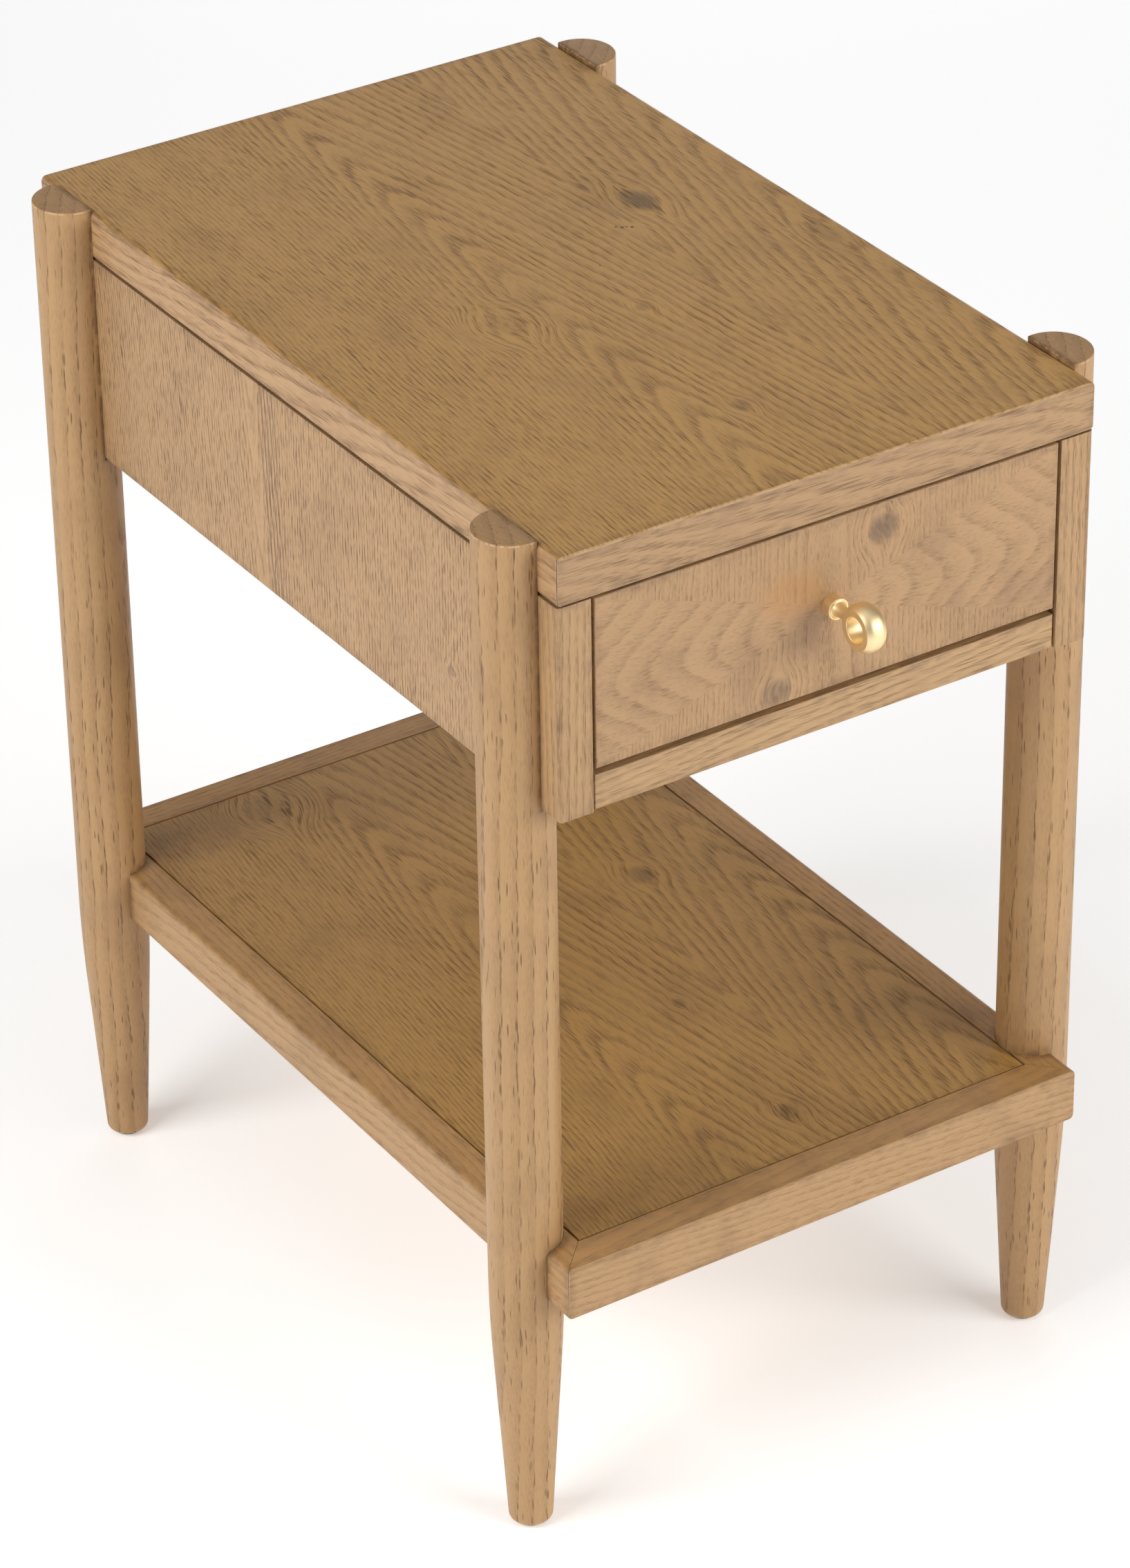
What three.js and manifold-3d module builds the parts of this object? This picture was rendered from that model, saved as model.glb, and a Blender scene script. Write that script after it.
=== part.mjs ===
// A narrow side table with one drawer, a lower shelf and four round legs.
//
// Millimetres, +Z up. X runs across the front, +Y runs from the drawer to the back.
// The carcass is laid out about its own centre line, and the whole table is then moved along Y so
// that the origin is on the floor under the middle of the table, knob included.

import * as THREE from 'three';
import { mergeVertices } from 'three/addons/utils/BufferGeometryUtils.js';
import Module from 'manifold-3d';

const wasm = await Module();
wasm.setup();

// ---- Driving dimensions --------------------------------------------------------------------

const FIT = 0.3; // clearance left between pieces that touch

// tabletop
const TOP_HEIGHT = 610; // floor to the upper face
const TOP_WIDTH = 326;
const TOP_DEPTH = 518;
const TOP_THICKNESS = 27.5;
const VENEER = 1;
const LIPPING = 20; // width of the solid edge strips

// carcass under the tabletop, flush with its edges
const REVEAL = 1.8; // shadow gap between tabletop and carcass
const CARCASS_BOTTOM = 460;
const BOARD = 20; // thickness of the side panels, back rail and corner posts
const REBATE = 5; // depth of the shadow gap
const POST_DROP = 1; // the posts end this much lower than the panels

// front
const LOWER_RAIL_HEIGHT = 20;
const LOWER_RAIL_SETBACK = 0.8;
const DRAWER_GAP = { side: 1.8, bottom: 4 };
const DRAWER_FRONT_THICKNESS = 20;
const TENON = { length: 10, height: 12, thickness: 8 };

// legs
const LEG_RADIUS = 20;
const LEG_X = 165.5; // leg axes
const LEG_Y = 222;
const LEG_TOP = 612;
const LEG_SIDES = 32;
const FOOT_RADIUS = 11.8; // at the floor
const FOOT_ROUND = 4;
const TAPER_TOP = 138; // where the taper would meet the straight leg
const TAPER_BLEND = 28;
const GLIDE = { radius: 8, thickness: 1.5, pin: 2, pinLength: 12 };

// shelf
const SHELF_HEIGHT = 188.5; // floor to the upper face
const SHELF_WIDTH = 330;
const SHELF_DEPTH = 525;
const SHELF_RAIL = { side: 19, end: 19.5, height: 32 };
const SHELF_GROOVE = 1.4;
const SHELF_GROOVE_DEPTH = 2;
const SHELF_TONGUE = 0.5; // the panel reaches this far under the groove
const SHELF_PANEL_THICKNESS = 22;
const NOTCH_RADIUS = LEG_RADIUS + 0.4;
const SHELF_DOWEL = { radius: 4, inLeg: 14, inPanel: 20 };

// drawer box and its runners
const BOX_SIDE = 12;
const BOX_BOTTOM = 488;
const BOX_TOP = 568;
const BOX_LENGTH = 439;
const FLOOR_PANEL = { thickness: 6, groove: 6, height: 9 };
const RUNNER_WIDTH = 13; // room between side panel and drawer box
const RUNNER_LENGTH = 400;
const RUNNER_HEIGHT = 528; // middle of the runner above the floor
const RUNNER_START = 23.5; // behind the carcass front
const RUNNER_SHEET = 1.2;
const OUTER_RUNNER = { height: 35, reach: 9.7 };
const INNER_RUNNER = { height: 25, reach: 9.2 };
const CAGE = { sheet: 0.8, height: 29.8, reach: 7.6, length: 100, setback: 1.7, start: 173.5 };

// fasteners and small parts
const LEG_BOLT = { headRadius: 6, head: 3.5, radius: 3, length: 32, height: 562 };
const KNOB_SCREW = { headRadius: 4.5, head: 2.2, radius: 2, length: 39 };
const FRONT_SCREW = { headRadius: 4, head: 2, radius: 2, length: 26, x: 80 };
const CLEAT = { width: 9, height: 12, length: 380 };
const CORNER_BLOCK = { leg: 30, height: 78, bottom: 464 };

// knob: a round base, a waisted neck and a short crowned ring
const KNOB = {
  base: 6,
  baseLength: 6.3,
  neck: 3.2,
  reach: 28.2, // drawer face to the middle of the ring
  ringWidth: 11.8,
  crown: 13,
  face: 11.1,
  hole: 7.1,
  screwDepth: 8.5,
};

// worked out from the above
const halfTop = TOP_WIDTH / 2;
const front = -TOP_DEPTH / 2;
const back = TOP_DEPTH / 2;
const underside = TOP_HEIGHT - TOP_THICKNESS;
const carcassTop = underside - REVEAL;
const halfOpening = halfTop - BOARD;
const railTop = CARCASS_BOTTOM + LOWER_RAIL_HEIGHT;
const halfBox = halfOpening - RUNNER_WIDTH;
const boxFront = front + DRAWER_FRONT_THICKNESS + FIT;
const boxBack = boxFront + BOX_LENGTH;
const drawerMiddle = (railTop + DRAWER_GAP.bottom + carcassTop) / 2;
const SIDES = { left: -1, right: 1 };
const ENDS = { front: -1, back: 1 };

// ---- Materials -----------------------------------------------------------------------------

const wood = (color, roughness) => new THREE.MeshStandardMaterial({ color, roughness, metalness: 0 });
const metal = (color, roughness) => new THREE.MeshStandardMaterial({ color, roughness, metalness: 1 });
const finishes = {
  topOak: () => wood(0xa8825a, 0.5),
  legOak: () => wood(0xc09a6c, 0.5),
  panelOak: () => wood(0xbd9870, 0.5),
  shelfOak: () => wood(0x96734a, 0.5),
  core: () => wood(0xa58c6c, 0.8),
  drawerWood: () => wood(0xcdb48c, 0.6),
  steel: () => metal(0xb4b6b8, 0.35),
  brass: () => metal(0xd6ad68, 0.3),
  nylon: () => wood(0x3a3632, 0.6),
};

// ---- Solid helpers -------------------------------------------------------------------------

function toSolid(geometry) {
  const bare = geometry.clone();
  bare.deleteAttribute('normal');
  bare.deleteAttribute('uv');
  const merged = mergeVertices(bare, 1e-4);
  const mesh = new wasm.Mesh({
    numProp: 3,
    vertProperties: new Float32Array(merged.attributes.position.array),
    triVerts: new Uint32Array(merged.index.array),
  });
  return new wasm.Manifold(mesh);
}

function toGeometry(solid) {
  const mesh = solid.getMesh();
  const geometry = new THREE.BufferGeometry();
  geometry.setAttribute('position', new THREE.BufferAttribute(mesh.vertProperties, 3));
  geometry.setIndex(new THREE.BufferAttribute(mesh.triVerts, 1));
  geometry.computeVertexNormals();
  return geometry;
}

const join = (first, second) => toGeometry(toSolid(first).add(toSolid(second)));

function cut(geometry, cutters) {
  let solid = toSolid(geometry);
  for (const cutter of cutters) {
    solid = solid.subtract(toSolid(cutter));
  }
  return toGeometry(solid);
}

// A box between two heights, given the ranges that it spans.
function block([x0, x1], [y0, y1], [z0, z1]) {
  const box = new THREE.BoxGeometry(Math.abs(x1 - x0), Math.abs(y1 - y0), Math.abs(z1 - z0));
  return box.translate((x0 + x1) / 2, (y0 + y1) / 2, (z0 + z1) / 2);
}

// A plate with the given outline in X and Y.
function plate(outline, bottom, height) {
  const shape = new THREE.Shape(outline.map(([x, y]) => new THREE.Vector2(x, y)));
  return new THREE.ExtrudeGeometry(shape, { depth: height, bevelEnabled: false }).translate(0, 0, bottom);
}

// A bar along Y with the given outline in X and Z.
function barAlongY(outline, y0, length) {
  const shape = new THREE.Shape(outline.map(([x, z]) => new THREE.Vector2(x, z)));
  const bar = new THREE.ExtrudeGeometry(shape, { depth: length, bevelEnabled: false });
  return bar.rotateX(Math.PI / 2).translate(0, y0 + length, 0);
}

// A turned piece about +Z from points of radius and height.
function turned(profile, sides) {
  const points = profile.map(([radius, height]) => new THREE.Vector2(radius, height));
  return new THREE.LatheGeometry(points, sides).rotateX(Math.PI / 2);
}

// A straight round rod along X.
function rodAlongX(radius, [x0, x1], y, z, sides = 16) {
  const rod = new THREE.CylinderGeometry(radius, radius, Math.abs(x1 - x0), sides);
  return rod.rotateZ(Math.PI / 2).translate((x0 + x1) / 2, y, z);
}

// A straight round rod along Y.
function rodAlongY(radius, [y0, y1], x, z, sides = 16) {
  return new THREE.CylinderGeometry(radius, radius, Math.abs(y1 - y0), sides).translate(x, (y0 + y1) / 2, z);
}

// A pan-headed fastener about +Z, its head below zero and its shank above.
function fastener({ headRadius, head, radius, length }) {
  const ease = head / 3;
  const profile = [
    [0, -head],
    [headRadius - ease, -head],
    [headRadius, -head + ease],
    [headRadius, 0],
    [radius, 0],
    [radius, length - radius / 2],
    [radius / 2, length],
    [0, length],
  ];
  return turned(profile, 16);
}

const table = new THREE.Group();

// Adds a named piece. Cutters are in the table's frame, and the geometry is about the piece's place.
function add(name, geometry, material, place = [0, 0, 0], cutters = []) {
  const local = cutters.map((cutter) => cutter.clone().translate(-place[0], -place[1], -place[2]));
  const shape = local.length ? cut(geometry, local) : geometry;
  const mesh = new THREE.Mesh(shape, material());
  mesh.name = name;
  mesh.position.set(...place);
  table.add(mesh);
  return mesh;
}

// A plain board given by the ranges that it spans, modelled about its own centre.
function addBoard(name, material, [x0, x1], [y0, y1], [z0, z1], cutters = []) {
  const board = new THREE.BoxGeometry(Math.abs(x1 - x0), Math.abs(y1 - y0), Math.abs(z1 - z0));
  return add(name, board, material, [(x0 + x1) / 2, (y0 + y1) / 2, (z0 + z1) / 2], cutters);
}

// ---- Tabletop: a core inside mitred lippings, under one veneer face --------------------------

// The four mitred strips of a frame, as outlines in X and Y.
function mitredStrips(halfWidth, halfDepth, sideWidth, endWidth) {
  const innerX = halfWidth - sideWidth;
  const innerY = halfDepth - endWidth;
  const mitre = FIT / 2;
  const end = (sign) => [
    [-halfWidth + mitre, sign * halfDepth],
    [halfWidth - mitre, sign * halfDepth],
    [innerX - mitre, sign * innerY],
    [-innerX + mitre, sign * innerY],
  ];
  const side = (sign) => [
    [sign * halfWidth, -halfDepth + mitre],
    [sign * halfWidth, halfDepth - mitre],
    [sign * innerX, innerY - mitre],
    [sign * innerX, -innerY + mitre],
  ];
  return { end, side };
}

function addTabletop() {
  const boardTop = TOP_HEIGHT - VENEER - FIT;
  const height = boardTop - underside;
  const strips = mitredStrips(halfTop, back, LIPPING, LIPPING);
  for (const [where, sign] of Object.entries(ENDS)) {
    add(`top_lipping_${where}`, plate(strips.end(sign), 0, height), finishes.topOak, [0, 0, underside]);
  }
  for (const [where, sign] of Object.entries(SIDES)) {
    add(`top_lipping_${where}`, plate(strips.side(sign), 0, height), finishes.topOak, [0, 0, underside]);
  }
  const coreX = halfTop - LIPPING - FIT;
  const coreY = back - LIPPING - FIT;
  addBoard('top_core', finishes.core, [-coreX, coreX], [-coreY, coreY], [underside, boardTop]);
  addBoard('top_veneer', finishes.topOak, [-halfTop, halfTop], [front, back], [TOP_HEIGHT - VENEER, TOP_HEIGHT]);
}

// ---- Carcass: posts, side panels, back rail and the rail below the drawer ---------------------

function addCarcass() {
  const supportTop = underside - FIT;
  const postBottom = CARCASS_BOTTOM - POST_DROP;
  const mortiseZ = CARCASS_BOTTOM + LOWER_RAIL_HEIGHT / 2;
  const mortiseY = front + BOARD / 2;

  for (const [side, sx] of Object.entries(SIDES)) {
    const outerX = sx * halfTop;
    const innerX = sx * halfOpening;

    for (const [end, sy] of Object.entries(ENDS)) {
      const outerY = sy * back;
      const innerY = sy * (back - BOARD);
      const shadowGap = [
        block([outerX + sx, outerX - sx * REBATE], [outerY + sy, innerY - sy], [carcassTop, underside + 1]),
        block([outerX + sx, innerX - sx], [outerY + sy, outerY - sy * REBATE], [carcassTop, underside + 1]),
      ];
      const mortise = block(
        [innerX - sx, innerX + sx * (TENON.length + FIT)],
        [mortiseY - TENON.thickness / 2 - FIT, mortiseY + TENON.thickness / 2 + FIT],
        [mortiseZ - TENON.height / 2 - FIT, mortiseZ + TENON.height / 2 + FIT],
      );
      const cutters = end === 'front' ? [...shadowGap, mortise] : shadowGap;
      addBoard(
        `post_${end}_${side}`, finishes.panelOak, [outerX, innerX], [outerY, innerY], [postBottom, supportTop], cutters,
      );
    }

    // side panel with its upper edge rebated for the shadow gap, drilled for the leg bolts
    const outline = [
      [outerX, CARCASS_BOTTOM],
      [outerX, carcassTop],
      [outerX - sx * REBATE, carcassTop],
      [outerX - sx * REBATE, supportTop],
      [innerX, supportTop],
      [innerX, CARCASS_BOTTOM],
    ];
    const halfLength = back - BOARD - FIT;
    const boltHoles = [-1, 1].map((sy) =>
      rodAlongX(LEG_BOLT.radius + FIT, [outerX + sx, innerX - sx], sy * LEG_Y, LEG_BOLT.height),
    );
    add(
      `side_panel_${side}`, barAlongY(outline, -halfLength, 2 * halfLength), finishes.panelOak, [0, 0, 0], boltHoles,
    );

    // strip that the tabletop is screwed down through
    const cleatTop = underside - FIT;
    addBoard(
      `top_cleat_${side}`, finishes.drawerWood,
      [innerX - sx * FIT, innerX - sx * (FIT + CLEAT.width)],
      [-CLEAT.length / 2, CLEAT.length / 2],
      [cleatTop - CLEAT.height, cleatTop],
    );

    // glue block behind the drawer, in the corner of side panel and back rail
    const blockY = back - BOARD - FIT;
    const blockX = halfOpening - FIT;
    const corner = [
      [sx * blockX, blockY],
      [sx * (blockX - CORNER_BLOCK.leg), blockY],
      [sx * blockX, blockY - CORNER_BLOCK.leg],
    ];
    add(`corner_block_${side}`, plate(corner, 0, CORNER_BLOCK.height), finishes.drawerWood, [0, 0, CORNER_BLOCK.bottom]);
  }

  const backX = halfOpening - FIT;
  addBoard('back_rail', finishes.panelOak, [-backX, backX], [back - BOARD, back], [CARCASS_BOTTOM, supportTop], [
    block([-halfTop, halfTop], [back - REBATE, back + 1], [carcassTop, underside + 1]),
  ]);

  const railFront = front + LOWER_RAIL_SETBACK;
  const rail = join(
    block([-halfOpening + FIT, halfOpening - FIT], [railFront, front + BOARD], [CARCASS_BOTTOM, railTop]),
    block(
      [-halfOpening - TENON.length, halfOpening + TENON.length],
      [mortiseY - TENON.thickness / 2, mortiseY + TENON.thickness / 2],
      [mortiseZ - TENON.height / 2, mortiseZ + TENON.height / 2],
    ),
  );
  add('lower_front_rail', rail, finishes.panelOak);
}

// ---- Legs: turned, tapered at the foot, notched to carry the carcass --------------------------

function legProfile() {
  const footBottom = GLIDE.thickness + FIT;
  const slope = (LEG_RADIUS - FOOT_RADIUS) / TAPER_TOP;
  const radiusAt = (height) => FOOT_RADIUS + slope * height;
  const pinHole = GLIDE.pin + FIT;
  const roundTop = footBottom + FOOT_ROUND;
  const roundStart = radiusAt(roundTop) - FOOT_ROUND;
  const points = [
    [0, footBottom + GLIDE.pinLength + 1],
    [pinHole, footBottom + GLIDE.pinLength + 1],
    [pinHole, footBottom],
    [roundStart, footBottom],
  ];
  for (const angle of [30, 60, 90]) {
    const turn = THREE.MathUtils.degToRad(angle);
    points.push([roundStart + FOOT_ROUND * Math.sin(turn), roundTop - FOOT_ROUND * Math.cos(turn)]);
  }
  const blend = new THREE.QuadraticBezierCurve(
    new THREE.Vector2(radiusAt(TAPER_TOP - TAPER_BLEND), TAPER_TOP - TAPER_BLEND),
    new THREE.Vector2(LEG_RADIUS, TAPER_TOP),
    new THREE.Vector2(LEG_RADIUS, TAPER_TOP + TAPER_BLEND),
  );
  for (const point of blend.getPoints(4)) {
    points.push([point.x, point.y]);
  }
  points.push([LEG_RADIUS, LEG_TOP - 1], [LEG_RADIUS - 1, LEG_TOP], [0, LEG_TOP]);
  return points;
}

function glideProfile() {
  const { radius, thickness, pin, pinLength } = GLIDE;
  return [[0, 0], [radius - 0.6, 0], [radius, 0.6], [radius, thickness], [pin, thickness], [pin, pinLength], [0, pinLength]];
}

function addLegs() {
  const shoulder = CARCASS_BOTTOM - POST_DROP - FIT;
  const panelMiddle = SHELF_HEIGHT - SHELF_PANEL_THICKNESS / 2;
  for (const [end, sy] of Object.entries(ENDS)) {
    for (const [side, sx] of Object.entries(SIDES)) {
      const x = sx * LEG_X;
      const y = sy * LEG_Y;
      const flat = sx * (halfTop + FIT);
      const notch = block([flat, flat - 2 * sx * LEG_RADIUS], [y - 30, y + 30], [shoulder, LEG_TOP + 5]);
      const boltEnd = halfOpening + LEG_BOLT.length;
      const boltHole = rodAlongX(LEG_BOLT.radius + FIT, [flat - sx, sx * (boltEnd + 2)], y, LEG_BOLT.height);
      const legInner = LEG_X - LEG_RADIUS;
      const dowelHole = rodAlongX(
        SHELF_DOWEL.radius + FIT, [sx * (legInner - 2), sx * (legInner + SHELF_DOWEL.inLeg + FIT)], y, panelMiddle,
      );
      add(`leg_${end}_${side}`, turned(legProfile(), LEG_SIDES), finishes.legOak, [x, y, 0], [notch, boltHole, dowelHole]);
      add(`glide_${end}_${side}`, turned(glideProfile(), 20), finishes.nylon, [x, y, 0]);

      const bolt = add(`leg_bolt_${end}_${side}`, fastener(LEG_BOLT), finishes.steel, [
        sx * (halfOpening - FIT), y, LEG_BOLT.height,
      ]);
      bolt.rotation.y = sx * Math.PI / 2;
    }
  }
}

// ---- Shelf: a veneered panel in a mitred frame, notched round the legs -------------------------

function addShelf() {
  const halfWidth = SHELF_WIDTH / 2;
  const halfDepth = SHELF_DEPTH / 2;
  const bottom = SHELF_HEIGHT - SHELF_RAIL.height;
  const strips = mitredStrips(halfWidth, halfDepth, SHELF_RAIL.side, SHELF_RAIL.end);
  const legHole = (sx, sy) => {
    const cylinder = new THREE.CylinderGeometry(NOTCH_RADIUS, NOTCH_RADIUS, 100, 48);
    return cylinder.rotateX(Math.PI / 2).translate(sx * LEG_X, sy * LEG_Y, SHELF_HEIGHT);
  };
  const keepOut = ([y0, y1]) => block([-300, 300], [y0, y1], [0, TOP_HEIGHT]);

  for (const [end, sy] of Object.entries(ENDS)) {
    const rail = plate(strips.end(sy), 0, SHELF_RAIL.height);
    add(`shelf_rail_${end}`, rail, finishes.shelfOak, [0, 0, bottom]);
  }
  for (const [side, sx] of Object.entries(SIDES)) {
    // the leg notches cut each side rail into a middle and two mitred corner returns
    const strip = plate(strips.side(sx), 0, SHELF_RAIL.height);
    const place = [0, 0, bottom];
    const holes = [legHole(sx, -1), legHole(sx, 1)];
    const ends = [keepOut([-400, -LEG_Y]), keepOut([LEG_Y, 400])];
    add(`shelf_rail_${side}`, strip, finishes.shelfOak, place, [...holes, ...ends]);
    add(`shelf_return_front_${side}`, strip, finishes.shelfOak, place, [holes[0], keepOut([-LEG_Y, 400])]);
    add(`shelf_return_back_${side}`, strip, finishes.shelfOak, place, [holes[1], keepOut([-400, LEG_Y])]);
  }

  // panel: the upper face stops at the groove, a tongue below it fills the frame
  const faceX = halfWidth - SHELF_RAIL.side - SHELF_GROOVE;
  const faceY = halfDepth - SHELF_RAIL.end - SHELF_GROOVE;
  const panelBottom = SHELF_HEIGHT - SHELF_PANEL_THICKNESS;
  const panelMiddle = SHELF_HEIGHT - SHELF_PANEL_THICKNESS / 2;
  const tongueX = faceX + SHELF_TONGUE;
  const tongueY = faceY + SHELF_TONGUE;
  const panel = join(
    block([-faceX, faceX], [-faceY, faceY], [panelBottom, SHELF_HEIGHT]),
    block([-tongueX, tongueX], [-tongueY, tongueY], [panelBottom, SHELF_HEIGHT - SHELF_GROOVE_DEPTH]),
  );
  const dowelHoles = [];
  for (const [end, sy] of Object.entries(ENDS)) {
    for (const [side, sx] of Object.entries(SIDES)) {
      const inner = tongueX - SHELF_DOWEL.inPanel;
      const outer = LEG_X - LEG_RADIUS + SHELF_DOWEL.inLeg;
      const y = sy * LEG_Y;
      dowelHoles.push(
        rodAlongX(SHELF_DOWEL.radius + FIT, [sx * (inner - FIT), sx * (tongueX + 1)], y, panelMiddle),
      );
      const dowel = rodAlongX(SHELF_DOWEL.radius, [(inner - outer) / 2, (outer - inner) / 2], 0, 0);
      add(`shelf_dowel_${end}_${side}`, dowel, finishes.drawerWood, [sx * (inner + outer) / 2, y, panelMiddle]);
    }
  }
  add('shelf_panel', panel, finishes.shelfOak, [0, 0, 0], dowelHoles);
}

// ---- Runners: outer channel on the carcass, inner channel on the drawer, ball cage between ------

// A channel open towards the table's middle (opens = -1) or towards the outside (opens = 1).
function channel(sx, backX, opens, sheet, height, reach) {
  const rear = sx * backX;
  const web = sx * (backX + opens * sheet);
  const tip = sx * (backX + opens * reach);
  const half = height / 2;
  return [
    [rear, -half], [tip, -half], [tip, -half + sheet], [web, -half + sheet],
    [web, half - sheet], [tip, half - sheet], [tip, half], [rear, half],
  ];
}

function addRunners() {
  const start = front + RUNNER_START;
  for (const [side, sx] of Object.entries(SIDES)) {
    const outer = channel(sx, halfOpening - FIT, -1, RUNNER_SHEET, OUTER_RUNNER.height, OUTER_RUNNER.reach);
    const inner = channel(sx, halfBox + FIT, 1, RUNNER_SHEET, INNER_RUNNER.height, INNER_RUNNER.reach);
    const cage = channel(sx, halfOpening - CAGE.setback, -1, CAGE.sheet, CAGE.height, CAGE.reach);
    const place = [0, start, RUNNER_HEIGHT];
    add(`runner_outer_${side}`, barAlongY(outer, 0, RUNNER_LENGTH), finishes.steel, place);
    add(`runner_inner_${side}`, barAlongY(inner, 0, RUNNER_LENGTH), finishes.steel, place);
    add(`ball_cage_${side}`, barAlongY(cage, 0, CAGE.length), finishes.steel, [0, front + CAGE.start, RUNNER_HEIGHT]);
  }
}

// ---- Drawer --------------------------------------------------------------------------------

function addDrawer() {
  const frontX = halfOpening - DRAWER_GAP.side;
  const frontRange = [railTop + DRAWER_GAP.bottom, carcassTop];
  const coreFront = front + VENEER + FIT;
  const knobHole = rodAlongY(KNOB_SCREW.radius + FIT, [front - 5, boxFront + BOX_SIDE + 5], 0, drawerMiddle);
  const frontScrewTip = boxFront + BOX_SIDE - FRONT_SCREW.length;
  const frontScrewHoles = [-1, 1].map((sx) =>
    rodAlongY(FRONT_SCREW.radius + FIT, [frontScrewTip - 1, boxFront + BOX_SIDE + 1], sx * FRONT_SCREW.x, drawerMiddle),
  );
  addBoard('drawer_veneer', finishes.panelOak, [-frontX, frontX], [front, front + VENEER], frontRange, [knobHole]);
  addBoard('drawer_front', finishes.core, [-frontX, frontX], [coreFront, boxFront - FIT], frontRange, [
    knobHole, ...frontScrewHoles,
  ]);

  // box: bottom panel in grooves of the front and sides, and under the back
  const height = [BOX_BOTTOM, BOX_TOP];
  const insideX = halfBox - BOX_SIDE;
  const panelBottom = BOX_BOTTOM + FLOOR_PANEL.height;
  const panelTop = panelBottom + FLOOR_PANEL.thickness;
  const groove = block(
    [-insideX - FLOOR_PANEL.groove, insideX + FLOOR_PANEL.groove],
    [boxFront + BOX_SIDE - FLOOR_PANEL.groove, boxBack + 1],
    [panelBottom - FIT, panelTop + FIT],
  );
  for (const [side, sx] of Object.entries(SIDES)) {
    addBoard(
      `drawer_side_${side}`, finishes.drawerWood, [sx * halfBox, sx * insideX], [boxFront, boxBack], height, [groove],
    );
  }
  const betweenX = insideX - FIT;
  addBoard(
    'drawer_box_front', finishes.drawerWood, [-betweenX, betweenX], [boxFront, boxFront + BOX_SIDE], height,
    [groove, knobHole, ...frontScrewHoles],
  );
  addBoard(
    'drawer_back', finishes.drawerWood, [-betweenX, betweenX], [boxBack - BOX_SIDE, boxBack], [panelTop + FIT, BOX_TOP],
  );
  const panelX = insideX + FLOOR_PANEL.groove - FIT;
  addBoard(
    'drawer_bottom', finishes.drawerWood, [-panelX, panelX],
    [boxFront + BOX_SIDE - FLOOR_PANEL.groove + FIT, boxBack], [panelBottom, panelTop],
  );

  for (const [side, sx] of Object.entries(SIDES)) {
    const screw = add(`front_screw_${side}`, fastener(FRONT_SCREW), finishes.steel, [
      sx * FRONT_SCREW.x, boxFront + BOX_SIDE + FIT, drawerMiddle,
    ]);
    screw.rotation.x = Math.PI / 2;
  }
  const knobScrew = add('knob_screw', fastener(KNOB_SCREW), finishes.steel, [
    0, boxFront + BOX_SIDE + FIT, drawerMiddle,
  ]);
  knobScrew.rotation.x = Math.PI / 2;
}

// ---- Knob ----------------------------------------------------------------------------------

function addKnob() {
  const { base, baseLength, neck, reach, ringWidth, crown, face, hole } = KNOB;
  const stemProfile = [
    [0, 0],
    [base, 0],
    [base, baseLength - 0.5],
    [base - 0.5, baseLength],
    [base - 1.2, baseLength - 0.4],
    [neck + 0.6, baseLength + 2.5],
    [neck, baseLength + 5],
    [neck + 0.2, baseLength + 7.5],
    [neck + 1.1, reach - crown + 1.2],
    [neck + 1.1, reach - hole - 2.2],
    [0, reach - hole - 2.2],
  ];
  const half = ringWidth / 2;
  const ringProfile = [[hole, -half + 0.4], [hole + 0.4, -half], [face, -half]];
  const crownSteps = 6;
  for (let step = 1; step < crownSteps; step += 1) {
    const along = -1 + (2 * step) / crownSteps;
    ringProfile.push([crown - (crown - face) * along * along, half * along]);
  }
  ringProfile.push([face, half], [hole + 0.4, half], [hole, half - 0.4], [hole, -half + 0.4]);
  const stem = turned(stemProfile, 24).rotateX(Math.PI / 2);
  const ring = turned(ringProfile, 36).rotateY(Math.PI / 2).translate(0, -reach, 0);
  const knobFace = front - FIT;
  const screwHole = rodAlongY(KNOB_SCREW.radius + FIT, [knobFace - KNOB.screwDepth, knobFace + 1], 0, drawerMiddle);
  add('knob', join(stem, ring), finishes.brass, [0, knobFace, drawerMiddle], [screwHole]);
}

addTabletop();
addCarcass();
addLegs();
addShelf();
addRunners();
addDrawer();
addKnob();

// The knob stands out further at the front than the shelf does at the back.
const knobTip = -front + FIT + KNOB.reach + KNOB.crown;
table.position.y = (knobTip - SHELF_DEPTH / 2) / 2;

const scene = new THREE.Group();
scene.add(table);
export default scene;
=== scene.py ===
"""A narrow side table with one drawer, a lower shelf and four round legs, in glazed oak.

Metres, +Z up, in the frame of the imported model. X runs across the front and +Y to the back.
Small sizes in the shaping functions are written in millimetres times MM. The materials work in
millimetres throughout, and places of knots and grain are given in the table's own frame.
"""

import math
from collections import namedtuple

import bmesh
import bpy
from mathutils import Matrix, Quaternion, Vector


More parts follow.
